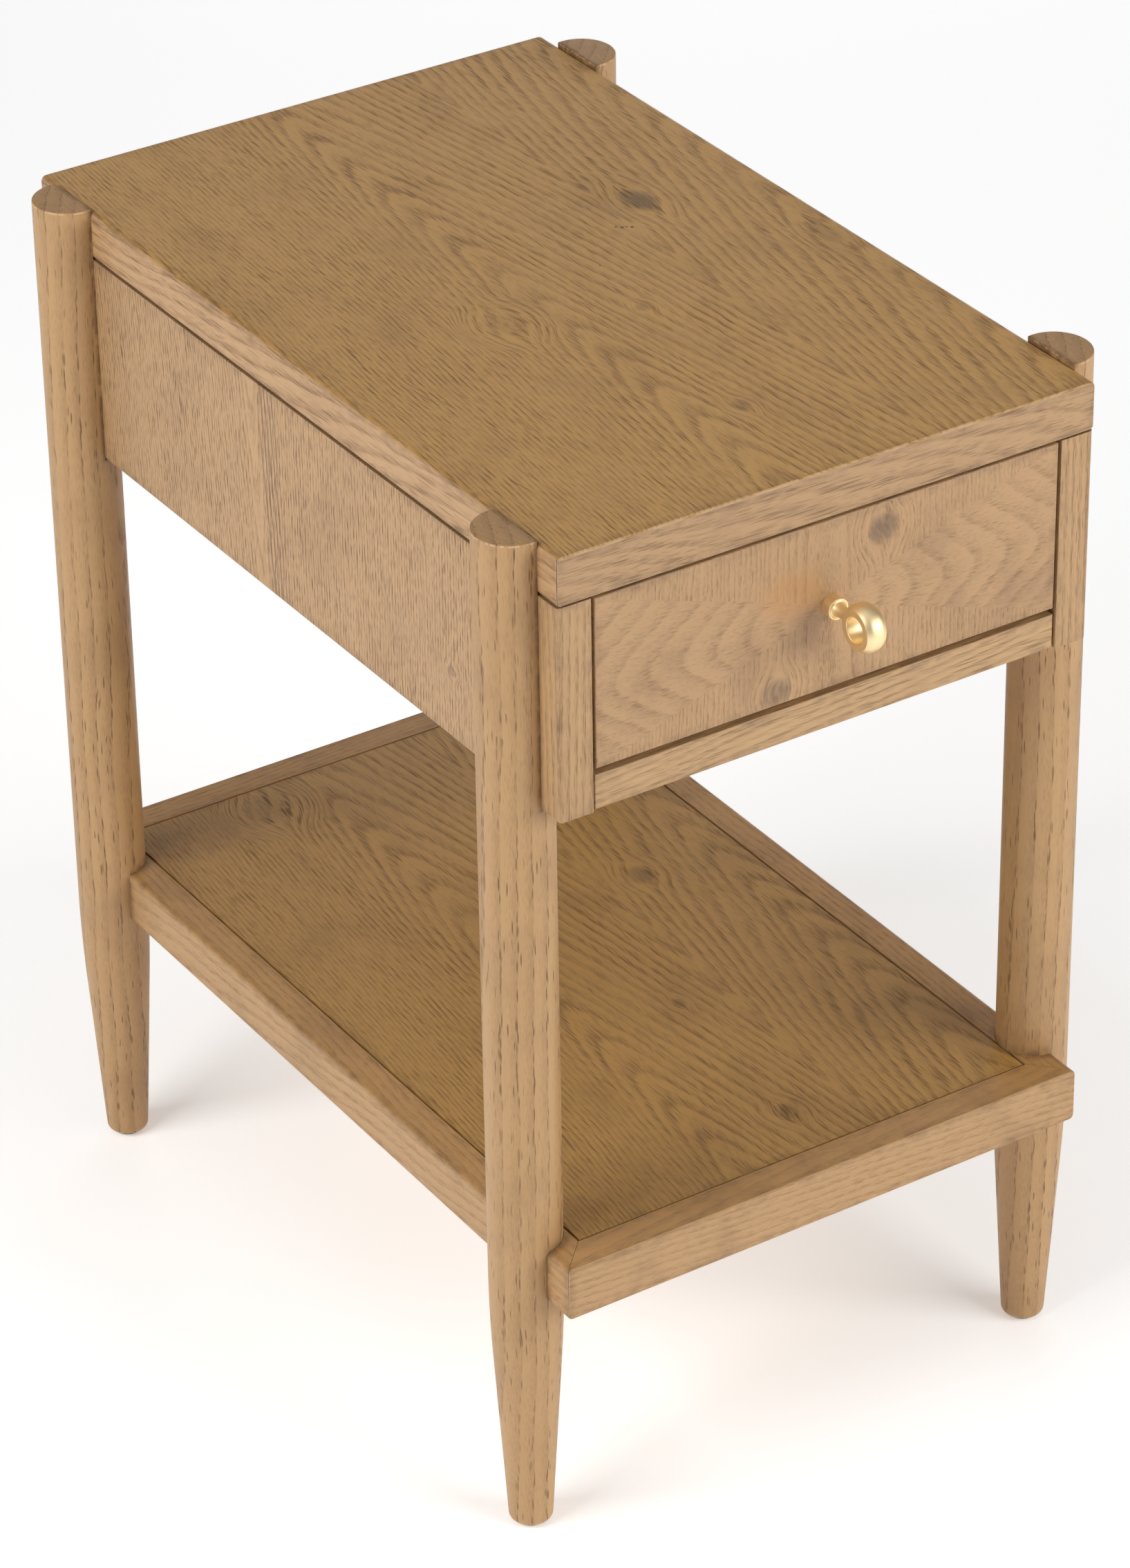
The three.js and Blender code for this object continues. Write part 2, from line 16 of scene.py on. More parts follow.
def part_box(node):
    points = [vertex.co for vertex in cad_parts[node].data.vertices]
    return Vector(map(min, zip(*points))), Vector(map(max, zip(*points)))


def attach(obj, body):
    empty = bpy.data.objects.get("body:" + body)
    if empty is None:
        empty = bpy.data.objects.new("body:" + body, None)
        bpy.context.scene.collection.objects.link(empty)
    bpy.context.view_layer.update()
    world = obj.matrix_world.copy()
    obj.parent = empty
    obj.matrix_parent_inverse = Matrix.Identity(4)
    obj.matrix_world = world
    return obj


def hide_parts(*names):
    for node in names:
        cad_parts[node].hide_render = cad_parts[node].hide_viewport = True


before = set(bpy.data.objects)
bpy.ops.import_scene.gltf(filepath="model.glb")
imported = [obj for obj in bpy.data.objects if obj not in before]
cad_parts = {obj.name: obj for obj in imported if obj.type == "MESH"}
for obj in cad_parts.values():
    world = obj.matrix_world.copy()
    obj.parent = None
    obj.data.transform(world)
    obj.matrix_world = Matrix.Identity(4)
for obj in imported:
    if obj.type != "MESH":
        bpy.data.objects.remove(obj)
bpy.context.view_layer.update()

MM = 0.001
HALF_TURN = math.pi
SIDES = {"left": -1, "right": 1}
ENDS = {"front": -1, "back": 1}

REBATE = 5 * MM  # depth of the shadow gap under the tabletop
GAP = 0.8 * MM  # height of the shadow gap
OVERSIZE = 3 * MM  # left on a board that is shaped after it is glued up

table_middle_y = (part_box("top_veneer")[0].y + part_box("top_veneer")[1].y) / 2


def shadow_gap():
    """The heights between which the carcass is cut back."""
    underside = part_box("top_lipping_left")[0].z
    return underside - GAP, underside


# ---- Shaping: small steps that the pieces below are made with ---------------------------------


def leave_edit_mode():
    if bpy.context.object is not None and bpy.context.object.mode != "OBJECT":
        bpy.ops.object.mode_set(mode="OBJECT")


def work_on(piece):
    """Makes one piece the only selected one."""
    leave_edit_mode()
    bpy.ops.object.select_all(action="DESELECT")
    piece.select_set(True)
    bpy.context.view_layer.objects.active = piece


def edit(piece):
    work_on(piece)
    bpy.ops.object.mode_set(mode="EDIT")
    bpy.ops.mesh.select_all(action="SELECT")


def start_with(primitive, name):
    """Adds a primitive of unit size and opens it for editing, with all of it selected."""
    leave_edit_mode()
    bpy.ops.object.select_all(action="DESELECT")
    primitive(size=1)
    piece = bpy.context.object
    piece.name = name
    piece.data.name = name
    bpy.ops.object.mode_set(mode="EDIT")
    return piece


def start_block(name, low, high):
    """A rough block between two corners, left in edit mode with all of it selected."""
    piece = start_with(bpy.ops.mesh.primitive_cube_add, name)
    low, high = Vector(low), Vector(high)
    bpy.ops.transform.resize(value=high - low, center_override=(0, 0, 0))
    bpy.ops.transform.translate(value=(low + high) / 2)
    return piece


def start_chain(name, places):
    """A chain of edges through the places, left in edit mode with all of it selected."""
    piece = start_with(bpy.ops.mesh.primitive_plane_add, name)
    bpy.ops.mesh.select_mode(type="VERT")
    bpy.ops.mesh.select_all(action="SELECT")
    bpy.ops.mesh.merge(type="CENTER")
    bpy.ops.transform.translate(value=places[0])
    for here, there in zip(places, places[1:]):
        bpy.ops.mesh.extrude_vertices_move(TRANSFORM_OT_translate={"value": there - here})
    bpy.ops.mesh.select_all(action="SELECT")
    return piece


def close_seams():
    """Merges doubled points, then turns the faces outwards."""
    bpy.ops.mesh.select_all(action="SELECT")
    bpy.ops.mesh.remove_doubles(threshold=0.002 * MM)
    bpy.ops.mesh.normals_make_consistent(inside=False)


def pick(piece, kind, elements, test):
    """Selects the faces, edges or points that pass the test."""
    bpy.ops.mesh.select_mode(type=kind)
    bpy.ops.mesh.select_all(action="DESELECT")
    mesh = bmesh.from_edit_mesh(piece.data)
    for element in getattr(mesh, elements):
        element.select_set(bool(test(element)))
    bmesh.update_edit_mesh(piece.data)


def pick_faces(piece, test):
    """Selects the faces that pass a test on their middle and their normal."""
    pick(piece, "FACE", "faces", lambda face: test(face.calc_center_median(), face.normal))


def pick_edges(piece, test):
    """Selects the edges that pass a test on their two ends."""
    pick(piece, "EDGE", "edges", lambda edge: test(edge.verts[0].co, edge.verts[1].co))


def push_points(piece, test, shift):
    """Moves the points that pass the test."""
    pick(piece, "VERT", "verts", lambda point: test(point.co))
    bpy.ops.transform.translate(value=shift)


def near(value, target, slack=0.02 * MM):
    return abs(value - target) < slack


def edge_on(**planes):
    """A test for edges that lie in all the given planes, such as x=0.1 and z=0.2."""
    wanted = [("xyz".index(axis), place) for axis, place in planes.items()]

    def test(start, end):
        return all(near(start[i], place) and near(end[i], place) for i, place in wanted)

    return test


def ease(piece, test, radius, segments=3):
    """Rounds the edges that pass the test."""
    pick_edges(piece, test)
    bpy.ops.mesh.bevel(offset=radius, segments=segments, affect="EDGES")


def extrude(shift):
    bpy.ops.mesh.extrude_region_move(TRANSFORM_OT_translate={"value": shift})


def slice_at(point, normal):
    """Scores a line right round the piece, where a plane meets it."""
    bpy.ops.mesh.select_all(action="SELECT")
    bpy.ops.mesh.bisect(plane_co=point, plane_no=normal)


def turned(name, outline, steps, centre, along, out):
    """A piece turned about a line: outline points are (radius, distance along the line)."""
    centre, along, out = Vector(centre), Vector(along), Vector(out)
    piece = start_chain(name, [centre + out * radius + along * distance for radius, distance in outline])
    bpy.ops.mesh.spin(steps=steps, angle=2 * math.pi, center=centre, axis=along)
    close_seams()
    return piece


def arc(centre, radius, first, last, steps):
    """Outline points on a round corner, from one angle to another in degrees."""
    points = []
    for step in range(steps + 1):
        turn = math.radians(first + (last - first) * step / steps)
        points.append((centre[0] + radius * math.cos(turn), centre[1] + radius * math.sin(turn)))
    return points


def apply_modifier(piece, kind, **settings):
    work_on(piece)
    modifier = piece.modifiers.new(kind.lower(), kind)
    for key, value in settings.items():
        setattr(modifier, key, value)
    bpy.ops.object.modifier_apply(modifier=modifier.name)


def combine(piece, tool, operation, keep_tool=False):
    """Cuts a piece by a tool, keeps only what is inside it, or joins the two."""
    leave_edit_mode()
    apply_modifier(piece, "BOOLEAN", operation=operation, solver="EXACT", object=tool)
    if not keep_tool:
        throw_away(tool)


def throw_away(piece):
    work_on(piece)
    bpy.ops.object.delete()


def copy_of(piece, name, shift=(0, 0, 0), mirror_x=False, mirror_y=False, turn_about=None):
    """A copy with its own mesh, moved, mirrored in the table's middle planes, or given a half turn."""
    work_on(piece)
    bpy.ops.object.duplicate(linked=False)
    copy = bpy.context.object
    copy.name = name
    copy.data.name = name
    edit(copy)
    if turn_about is not None:
        bpy.ops.transform.rotate(value=HALF_TURN, orient_axis="Z", center_override=turn_about)
    if mirror_x or mirror_y:
        factors = (-1 if mirror_x else 1, -1 if mirror_y else 1, 1)
        bpy.ops.transform.resize(value=factors, center_override=(0, table_middle_y, 0))
    bpy.ops.transform.translate(value=shift)
    leave_edit_mode()
    return copy


def settle(piece, smooth=32):
    """Turns the faces outwards, smooths the rounded parts and leaves the flats flat."""
    edit(piece)
    bpy.ops.mesh.normals_make_consistent(inside=False)
    leave_edit_mode()
    bpy.ops.object.transform_apply(location=True, rotation=True, scale=True)
    bpy.ops.object.shade_smooth_by_angle(angle=math.radians(smooth))
    apply_modifier(piece, "WEIGHTED_NORMAL", keep_sharp=True, weight=50)


def dress(piece, body, slot, material, *nodes):
    """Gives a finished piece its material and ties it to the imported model."""
    piece.data.materials.clear()
    piece.data.materials.append(material)
    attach(piece, body)
    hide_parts(*nodes)


# ---- Materials: a small language for node arithmetic -------------------------------------------

MIX_FIRST, MIX_SECOND, MIX_RESULT = 6, 7, 2  # the colour sockets of a Mix node


def srgb(red, green, blue):
    """A colour given in display values from 0 to 255."""

    def linear(value):
        value /= 255
        return value / 12.92 if value <= 0.04045 else ((value + 0.055) / 1.055) ** 2.4

    return (linear(red), linear(green), linear(blue), 1)


class Field:
    """A value that varies over a surface. Arithmetic on it adds Math nodes."""

    def __init__(self, finish, socket):
        self.finish = finish
        self.socket = socket

    def __add__(self, other):
        return self.finish.math("ADD", self, other)

    def __sub__(self, other):
        return self.finish.math("SUBTRACT", self, other)

    def __rsub__(self, other):
        return self.finish.math("SUBTRACT", other, self)

    def __mul__(self, other):
        return self.finish.math("MULTIPLY", self, other)

    def __truediv__(self, other):
        return self.finish.math("DIVIDE", self, other)

    def __pow__(self, power):
        return self.finish.math("POWER", self, power)

    def __abs__(self):
        return self.finish.math("ABSOLUTE", self)

    def __lt__(self, other):
        return self.finish.math("LESS_THAN", self, other)

    __radd__ = __add__
    __rmul__ = __mul__


class Finish:
    """A material while it is put together."""

    def __init__(self, name):
        self.material = bpy.data.materials.new(name)
        self.material.use_nodes = True
        self.tree = self.material.node_tree
        self.tree.nodes.clear()

    def node(self, kind, settings=None, sockets=None):
        """Adds a node: its settings are set first, then its sockets are filled or linked."""
        node = self.tree.nodes.new("ShaderNode" + kind)
        for key, value in (settings or {}).items():
            setattr(node, key, value)
        for key, value in (sockets or {}).items():
            if isinstance(value, Field):
                self.tree.links.new(value.socket, node.inputs[key])
            else:
                node.inputs[key].default_value = value
        return node

    def field(self, kind, settings=None, sockets=None, output=0):
        return Field(self, self.node(kind, settings, sockets).outputs[output])

    def math(self, operation, *values):
        return self.field("Math", {"operation": operation}, dict(enumerate(values)))

    def smallest(self, first, second):
        return self.math("MINIMUM", first, second)

    def largest(self, first, second):
        return self.math("MAXIMUM", first, second)

    def root(self, value):
        return self.math("SQRT", value)

    def rise(self, value, low, high):
        """A soft step from 0 to 1 as the value goes from low to high."""
        settings = {"interpolation_type": "SMOOTHSTEP"}
        return self.field("MapRange", settings, {"Value": value, "From Min": low, "From Max": high})

    def fall(self, value, low, high):
        return 1 - self.rise(value, low, high)

    def blend(self, amount, first, second, how="MIX"):
        settings = {"data_type": "RGBA", "blend_type": how}
        sockets = {0: amount, MIX_FIRST: first, MIX_SECOND: second}
        return self.field("Mix", settings, sockets, MIX_RESULT)

    def point(self, x, y, z):
        return self.field("CombineXYZ", None, {0: x, 1: y, 2: z})

    def parts(self, vector):
        node = self.node("SeparateXYZ", None, {0: vector})
        return [Field(self, socket) for socket in node.outputs]

    def times(self, vector, factors):
        return self.field("VectorMath", {"operation": "MULTIPLY"}, {0: vector, 1: factors})

    def noise(self, point, detail=2, roughness=0.5):
        sockets = {"Vector": point, "Scale": 1, "Detail": detail, "Roughness": roughness}
        return self.field("TexNoise", None, sockets)

    def place(self):
        """Where a point lies in the table's frame, in millimetres."""
        coordinates = self.field("TexCoord", output="Object")
        return self.parts(self.times(coordinates, (1000, 1000, 1000)))

    def close(self, colour, roughness, height=None, relief=1.0, **constants):
        """Feeds the shader. Relief is how deep the height goes, in millimetres."""
        sockets = {"Base Color": colour, "Roughness": roughness}
        for key, value in constants.items():
            sockets[key.replace("_", " ")] = value
        if height is not None:
            bump = {"Height": height, "Strength": 1, "Distance": relief * MM}
            sockets["Normal"] = self.field("Bump", None, bump)
        shader = self.node("BsdfPrincipled", None, sockets)
        output = self.node("OutputMaterial")
        self.tree.links.new(shader.outputs[0], output.inputs[0])
        return self.material


# ---- Oak ---------------------------------------------------------------------------------------

LATE_WOOD = srgb(190, 153, 108)
EARLY_WOOD = srgb(160, 124, 82)
PORE_TONE = srgb(112, 82, 52)
# Glaze at joints and edges; also used for painted shade in the shadow gap and at the back of the side panels.
GLAZE_AND_SHADE_TONE = srgb(96, 70, 46)
# The pale tone of worn edges, also used as a painted highlight on the arrises.
WORN_AND_HIGHLIGHT_TONE = srgb(222, 188, 152)
KNOT_TONE = srgb(92, 74, 60)
CLOUD_TONE = srgb(140, 108, 76)
HOLE_TONE = srgb(44, 32, 22)
WARM_TONE = srgb(196, 142, 82)
END_TONE = srgb(112, 80, 44)
# Painted shade: the shelf face is tinted darker and more saturated, as in the shade under the table.
SHELF_PAINTED_SHADE_TINT = (0.81, 0.72, 0.4)
# Painted shade on the upper face of the shelf frame.
UPPER_PAINTED_SHADE_TINT = (0.86, 0.79, 0.6, 1)

# One growth column of a board: where its middle lies across and into the board, and how it leans.
Column = namedtuple("Column", "across depth lean", defaults=(0.0,))

# A knot: its place across and along the board, its size each way, and how dark it is.
Knot = namedtuple("Knot", "across along width length dark")


class Figure:
    """How the growth rings run through a board, in millimetres."""

    def __init__(self, columns, spacing, climb, drift=8, wobble=1.6, swell=()):
        self.columns = columns
        self.spacing = spacing
        self.climb = climb  # how far the rings spread for each unit along the grain
        self.drift = drift
        self.wobble = wobble
        self.swell = swell  # (from, to, slope): rings widen or crowd between two lines

    def count(self, f, across, depth, along):
        """The number of rings between the heart and a point."""
        reach = None
        for column in self.columns:
            aside = across - (along * column.lean + column.across)
            inward = depth - column.depth
            here = f.root(aside * aside + inward * inward)
            reach = here if reach is None else f.math("SMOOTH_MIN", reach, here, 14)
        for start, end, slope in self.swell:
            inside = f.smallest(f.largest(across - start, 0), end - start)
            reach = reach + inside * slope
        return (reach + along * self.climb) / self.spacing


# How strongly one board shows its grain: how dark the large pores, the small ones and the soft band
# behind them are, the part of each ring that is crowded with large pores, the width and length of
# a large pore, the tint, and the strength of the uneven glaze.
USUAL_LOOK = (0.55, 0.3, 0.35, (0.16, 0.5), (0.7, 9), (1, 1, 1), 0.3)
Look = namedtuple("Look", "pores fine bands crowd dash tint cloud", defaults=USUAL_LOOK)


CROWDED_SHARE = 0.88  # how many of the places for a pore are filled where pores crowd
STRAY_SHARE = 0.05  # and how many everywhere
OAK_RELIEF = 0.14  # depth of the open grain, in millimetres


def pores_of(f, figure, across, depth, along, dash, crowd):
    """Open pores: short dark dashes along the grain, crowded at the start of each ring."""
    width, length = dash
    spot = f.point(across / width, depth / width, along / length)
    cells = f.node("TexVoronoi", None, {"Vector": spot, "Scale": 1, "Randomness": 1})
    middle = f.times(Field(f, cells.outputs["Position"]), (width, width, length))
    chance = f.parts(Field(f, cells.outputs["Color"]))[0]
    rings = f.math("FRACT", figure(f, *f.parts(middle)))
    share = f.fall(rings, *crowd) * CROWDED_SHARE + STRAY_SHARE
    return f.fall(Field(f, cells.outputs["Distance"]), 0.26, 0.6) * (chance < share)


def grow_round_knots(f, across, along, knots):
    """Bends the grain round each knot; also gives how dark the knots are."""
    dark = 0
    for knot in knots:
        aside = across - knot.across
        ahead = along - knot.along
        span = (aside / knot.width) ** 2 + (ahead / knot.length) ** 2
        across = across - aside * f.fall(span, 0, 6) * 0.75
        mark = f.fall(span, 0.05, 1.5) * knot.dark
        dark = mark if dark == 0 else f.largest(dark, mark)
    return across, dark


def glaze_wear_and_highlight_at_edges(f, x, y, z, colour, gap):
    """Smudged glaze near a board's edges, and a broken pale line along them that is partly wear and partly a
    painted highlight.
    """
    smudge = f.noise(f.point(x / 12, y / 12, z / 12), 3, 0.6)
    colour = f.blend(f.fall(gap, 0.4, 7) * f.rise(smudge, 0.35, 0.75) * 0.45, colour, GLAZE_AND_SHADE_TONE)
    # Pale line: partly worn edges, partly a painted highlight.
    worn_and_highlight = f.fall(gap, 0.15, 0.8) * f.rise(smudge, 0.4, 0.6)
    return f.blend(worn_and_highlight * 0.5, colour, WORN_AND_HIGHLIGHT_TONE)


def oak(name, layout, figure, look, knots=(), edge=None, extra=None):
    """Glazed, open-pored oak. Layout turns a place into across, into and along the grain."""
    f = Finish(name)
    x, y, z = f.place()
    across, depth, along = layout(f, x, y, z)
    across, knot_dark = grow_round_knots(f, across, along, knots)

    slow = f.noise(f.point(across / 70, depth / 70, along / 210))
    quick = f.noise(f.point(across / 9, depth / 9, along / 60))
    across = across + (slow - 0.5) * (2 * figure.drift) + (quick - 0.5) * (2 * figure.wobble)

    rings = f.math("FRACT", figure.count(f, across, depth, along))
    patches = f.noise(f.point(across / 34, depth / 34, along / 75), 3, 0.55)
    presence = f.rise(patches, 0.3, 0.62) * 0.65 + 0.35
    band = f.fall(rings, 0.1, 0.7) * f.rise(rings, 0.0, 0.04) * presence
    coarse = pores_of(f, figure.count, across, depth, along, look.dash, look.crowd)
    small = (look.dash[0] * 0.55, look.dash[1] * 0.55)
    fine = pores_of(f, figure.count, across, depth, along, small, (0.2, 0.95))
    fibre = f.noise(f.point(across / 0.45, depth / 0.45, along / 22), 3, 0.65)
    glaze = f.noise(f.point(x / 42, y / 60, z / 60), 4, 0.62)

    colour = f.blend(band * look.bands + (fibre - 0.5) * 0.6 + 0.1, LATE_WOOD, EARLY_WOOD)
    colour = f.blend(f.rise(glaze, 0.46, 0.76) * look.cloud, colour, CLOUD_TONE)
    colour = f.blend(fine * look.fine, colour, PORE_TONE)
    colour = f.blend(coarse * presence * look.pores, colour, PORE_TONE)
    if knots:
        colour = f.blend(knot_dark * f.rise(fibre + patches, 0.5, 1.2), colour, KNOT_TONE)
    if edge is not None:
        colour = glaze_wear_and_highlight_at_edges(f, x, y, z, colour, edge(f, x, y, z))
    if extra is not None:
        colour = extra(f, x, y, z, colour)
    colour = f.blend(1, colour, (*look.tint, 1), "MULTIPLY")

    roughness = 0.46 + coarse * 0.2 + (patches - 0.5) * 0.12
    height = 0 - coarse * 0.7 - fine * 0.25 - band * 0.12 + fibre * 0.08
    return f.close(colour, roughness, height, OAK_RELIEF, IOR=1.48)


def gap_painted_shade(f, x, y, z, colour):
    """Painted shade: darkens the part of a board that lies inside the shadow gap, in the glaze's tone."""
    bottom = shadow_gap()[0] / MM
    return f.blend(f.rise(z, bottom - 0.2, bottom + 0.1) * 0.55, colour, GLAZE_AND_SHADE_TONE)


# Layouts: across the face, into it, along the grain.
def grain_along_y(f, x, y, z):
    return x, z, y


def grain_along_x(f, x, y, z):
    return y, z, x


def grain_upright(f, x, y, z):
    return x, y, z


def grain_upright_side(f, x, y, z):
    return y, abs(x), z


def board_edge(node, last=None):
    """How far a point on a board is from the nearest edge; mirrored boards share it."""
    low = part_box(node)[0] / MM
    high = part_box(last or node)[1] / MM
    middle = (low + high) / 2
    half = (high - low) / 2
    centre_y = table_middle_y / MM

    def gap(f, x, y, z):
        from_x = half.x - abs(abs(x) - abs(middle.x))
        from_y = half.y - abs(abs(y - centre_y) - abs(middle.y - centre_y))
        from_z = half.z - abs(z - middle.z)
        low_pair = f.smallest(from_x, from_y)
        high_pair = f.largest(from_x, from_y)
        return f.largest(low_pair, f.smallest(high_pair, from_z))

    return gap


def top_face_oak():
    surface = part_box("top_veneer")[1].z / MM
    columns = (Column(-22, surface - 30, 0.03), Column(156, surface - 34))
    figure = Figure(columns, 2.7, 0.07, drift=6, wobble=0.7, swell=((6, 68, -0.45), (68, 128, 0.45)))
    knots = (
        Knot(89, 66, 9, 15, 0.8),
        Knot(-50, -18, 12, 14, 0.2),
        Knot(20, -41, 4, 5, 0.5),
        Knot(0, -160, 5, 7, 0.5),
        Knot(149, -22, 7, 16, 0.4),
    )
    look = Look(pores=0.78, fine=0.5, bands=0.32, dash=(0.5, 13), tint=(0.97, 0.87, 0.57), cloud=0.3)
    return oak("oak_top_face", grain_along_y, figure, look, knots, board_edge("top_veneer"), worm_holes)


# The place and radius of each worm hole in the tabletop, in millimetres.
WORM_HOLES = ((60.5, 46, 0.8), (63, 43.6, 1), (65.4, 43, 0.7), (67.6, 41, 1), (28, 12, 0.5))


def worm_holes(f, x, y, z, colour):
    """A few pin holes, dark with glaze."""
    for hole_x, hole_y, radius in WORM_HOLES:
        reach = f.root((x - hole_x) ** 2 + (y - hole_y) ** 2)
        colour = f.blend(f.fall(reach, radius * 0.6, radius * 1.3) * 0.9, colour, HOLE_TONE)
    return colour


def lipping_side_oak():
    figure = Figure((Column(-60, 540, 0.02), ), 3.6, 0.03, wobble=0.4)
    look = Look(pores=0.74, fine=0.46, bands=0.15, dash=(0.5, 20), tint=(1, 0.97, 1))
    return oak("oak_lipping_side", grain_along_y, figure, look, edge=board_edge("top_lipping_left"))


def lipping_end_oak():
    figure = Figure((Column(-140, 560, 0.04), ), 3.8, 0.03, wobble=0.4)
    look = Look(pores=0.78, fine=0.45, bands=0.15, dash=(0.55, 24), tint=(0.9, 0.88, 0.9))
    return oak("oak_lipping_end", grain_along_x, figure, look, edge=board_edge("top_lipping_front"))


def post_oak():
    figure = Figure((Column(0, -100), ), 3.2, 0.01, drift=3, wobble=0.4)
    look = Look(pores=0.45, dash=(0.6, 10), bands=0.25, tint=(0.95, 0.93, 0.93))
    return oak("oak_post", grain_upright, figure, look, (), board_edge("post_front_left"), gap_painted_shade)


def side_panel_oak():
    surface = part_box("side_panel_right")[1].x / MM
    figure = Figure((Column(26, surface - 8, 0.05), ), 2.6, -0.06, drift=3, wobble=1.2)
    knots = (Knot(-141, 499, 4, 3, 0.5), )
    look = Look(pores=0.92, fine=0.6, bands=0.34, crowd=(0.1, 0.42), dash=(0.65, 9), tint=(0.97, 0.95, 0.97))
    edge = board_edge("side_panel_left")
    return oak("oak_side_panel", grain_upright_side, figure, look, knots, edge, side_heartwood_and_painted_shade)


HEART_Y = 52  # where the plain strip of the side panels runs


def side_heartwood_and_painted_shade(f, x, y, z, colour):
    """A plain strip of heartwood, painted shade in the shadow gap, and painted shade that darkens the back
    end.
    """
    waver = f.noise(f.point(y / 9, 0, z / 22), 2, 0.5) - 0.5
    aside = abs(y - HEART_Y + waver * 7 - (z - 520) * 0.05)
    colour = f.blend(f.fall(aside, 5, 8) * 0.45, colour, LATE_WOOD)
    lines = f.math("FRACT", (aside + waver * 5 + (z - 460) * 0.05) / 4)
    beside = f.rise(aside, 7, 9) * f.fall(aside, 20, 30) * f.fall(y, HEART_Y - 2, HEART_Y)
    colour = f.blend(beside * f.fall(lines, 0.1, 0.5) * f.rise(lines, 0, 0.08) * 0.8, colour, PORE_TONE)
    # Painted shade: darker towards the back end of the panel.
    colour = f.blend(f.rise(y, 110, 250) * 0.16, colour, GLAZE_AND_SHADE_TONE)
    return gap_painted_shade(f, x, y, z, colour)


def back_rail_oak():
    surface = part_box("back_rail")[1].y / MM
    figure = Figure((Column(30, surface - 10, 0.04), ), 2.8, 0.05, drift=5, wobble=0.6)
    look = Look(pores=0.5, fine=0.4, bands=0.25, dash=(0.6, 6))
    return oak("oak_back_rail", grain_upright, figure, look, (), board_edge("back_rail"), gap_painted_shade)


def lower_rail_oak():
    figure = Figure((Column(-190, 520, 0.05), ), 3.4, 0.03, wobble=0.4)
    look = Look(pores=0.65, fine=0.4, bands=0.2, dash=(0.6, 20))
    return oak("oak_lower_rail", grain_along_x, figure, look, edge=board_edge("lower_front_rail"))


def leg_oak():
    figure = Figure((Column(1265, -807), ), 8, 0.012, drift=5, wobble=1.3)
    look = Look(pores=0.9, fine=0.2, bands=0.36, crowd=(0.04, 0.2), dash=(0.8, 9), tint=(0.97, 0.93, 0.87))
    return oak("oak_leg", grain_upright, figure, look, extra=leg_marks)


def leg_marks(f, x, y, z, colour):
    """Glaze left in the joints, a pale line round the top that is partly wear and partly a painted highlight,
    and the end grain.
    """
    shelf_low, shelf_high = (corner.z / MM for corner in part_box("shelf_rail_left"))
    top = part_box("leg_front_left")[1].z / MM
    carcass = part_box("post_front_left")[0].z / MM
    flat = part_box("side_panel_right")[1].x / MM
    smudge = f.noise(f.point(x / 9, y / 9, z / 9), 2, 0.6)
    gap = f.smallest(f.smallest(abs(z - shelf_low), abs(z - shelf_high)), abs(z - carcass))
    inward = f.fall(abs(x), 156, 172)
    colour = f.blend(f.fall(gap, 0.5, 7) * f.rise(smudge, 0.35, 0.7) * inward * 0.5, colour, GLAZE_AND_SHADE_TONE)
    beside = f.fall(abs(x) - flat, 0.2, 3.5) * f.rise(z, carcass - 2, carcass)
    colour = f.blend(beside * f.rise(smudge, 0.25, 0.6) * 0.7, colour, GLAZE_AND_SHADE_TONE)
    end_grain = f.noise(f.point(x / 1.4, y / 9, 0), 2, 0.6)
    at_end = f.rise(z, top - 0.5, top - 0.2)
    colour = f.blend(at_end * (end_grain * 0.55 + 0.05), colour, END_TONE)
    # Pale rim line: partly wear, partly a painted highlight.
    chips = f.noise(f.point(x / 3, y / 3, z / 3), 2, 0.6)
    rim = f.rise(z, top - 1.5, top - 0.9) * f.fall(z, top - 0.6, top - 0.2)
    return f.blend(rim * f.rise(chips, 0.46, 0.56) * 0.6, colour, WORN_AND_HIGHLIGHT_TONE)


def shelf_face_oak():
    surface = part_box("shelf_panel")[1].z / MM
    columns = (Column(-30, surface - 28, 0.03), Column(130, surface - 34))
    figure = Figure(columns, 2.8, 0.075, drift=6, wobble=0.7, swell=((-8, 50, -0.45), (50, 105, 0.45)))
    knots = (
        Knot(79, 55, 8, 10, 0.6),
        Knot(23, -68, 4, 5, 0.6),
        Knot(-61, 239, 16, 16, 0.25),
        Knot(12, -188, 7, 8, 0.3),
    )
    # The tint here is painted shade from under the table.
    look = Look(pores=0.75, fine=0.48, bands=0.34, dash=(0.5, 13), tint=SHELF_PAINTED_SHADE_TINT, cloud=0.4)
    return oak("oak_shelf_face", grain_along_y, figure, look, knots, board_edge("shelf_panel"))


def shelf_frame_glaze_and_painted_shade(f, x, y, z, colour):
    """The frame's upper face is darker than its sides, as painted shade, and the joints at the legs hold more
    glaze.
    """
    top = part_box("shelf_rail_left")[1].z / MM
    low, high = (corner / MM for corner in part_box("leg_front_left"))
    leg = (low + high) / 2
    centre_y = table_middle_y / MM
    # Painted shade: the upper face is darkened.
    upper = f.rise(z, top - 1.6, top - 0.2)
    colour = f.blend(upper * 0.85, colour, f.blend(1, colour, UPPER_PAINTED_SHADE_TINT, "MULTIPLY"))
    aside = abs(x) - abs(leg.x)
    ahead = abs(y - centre_y) - abs(leg.y - centre_y)
    reach = f.root(aside ** 2 + ahead ** 2)
    smudge = f.noise(f.point(x / 8, y / 8, z / 8), 3, 0.6)
    return f.blend(f.fall(reach, 20, 26) * f.rise(smudge, 0.25, 0.6) * 0.6, colour, GLAZE_AND_SHADE_TONE)


SHELF_RAIL_LOOK = Look(pores=0.36, fine=0.26, bands=0.08, dash=(0.5, 9), tint=(0.96, 0.92, 0.87), cloud=0.4)


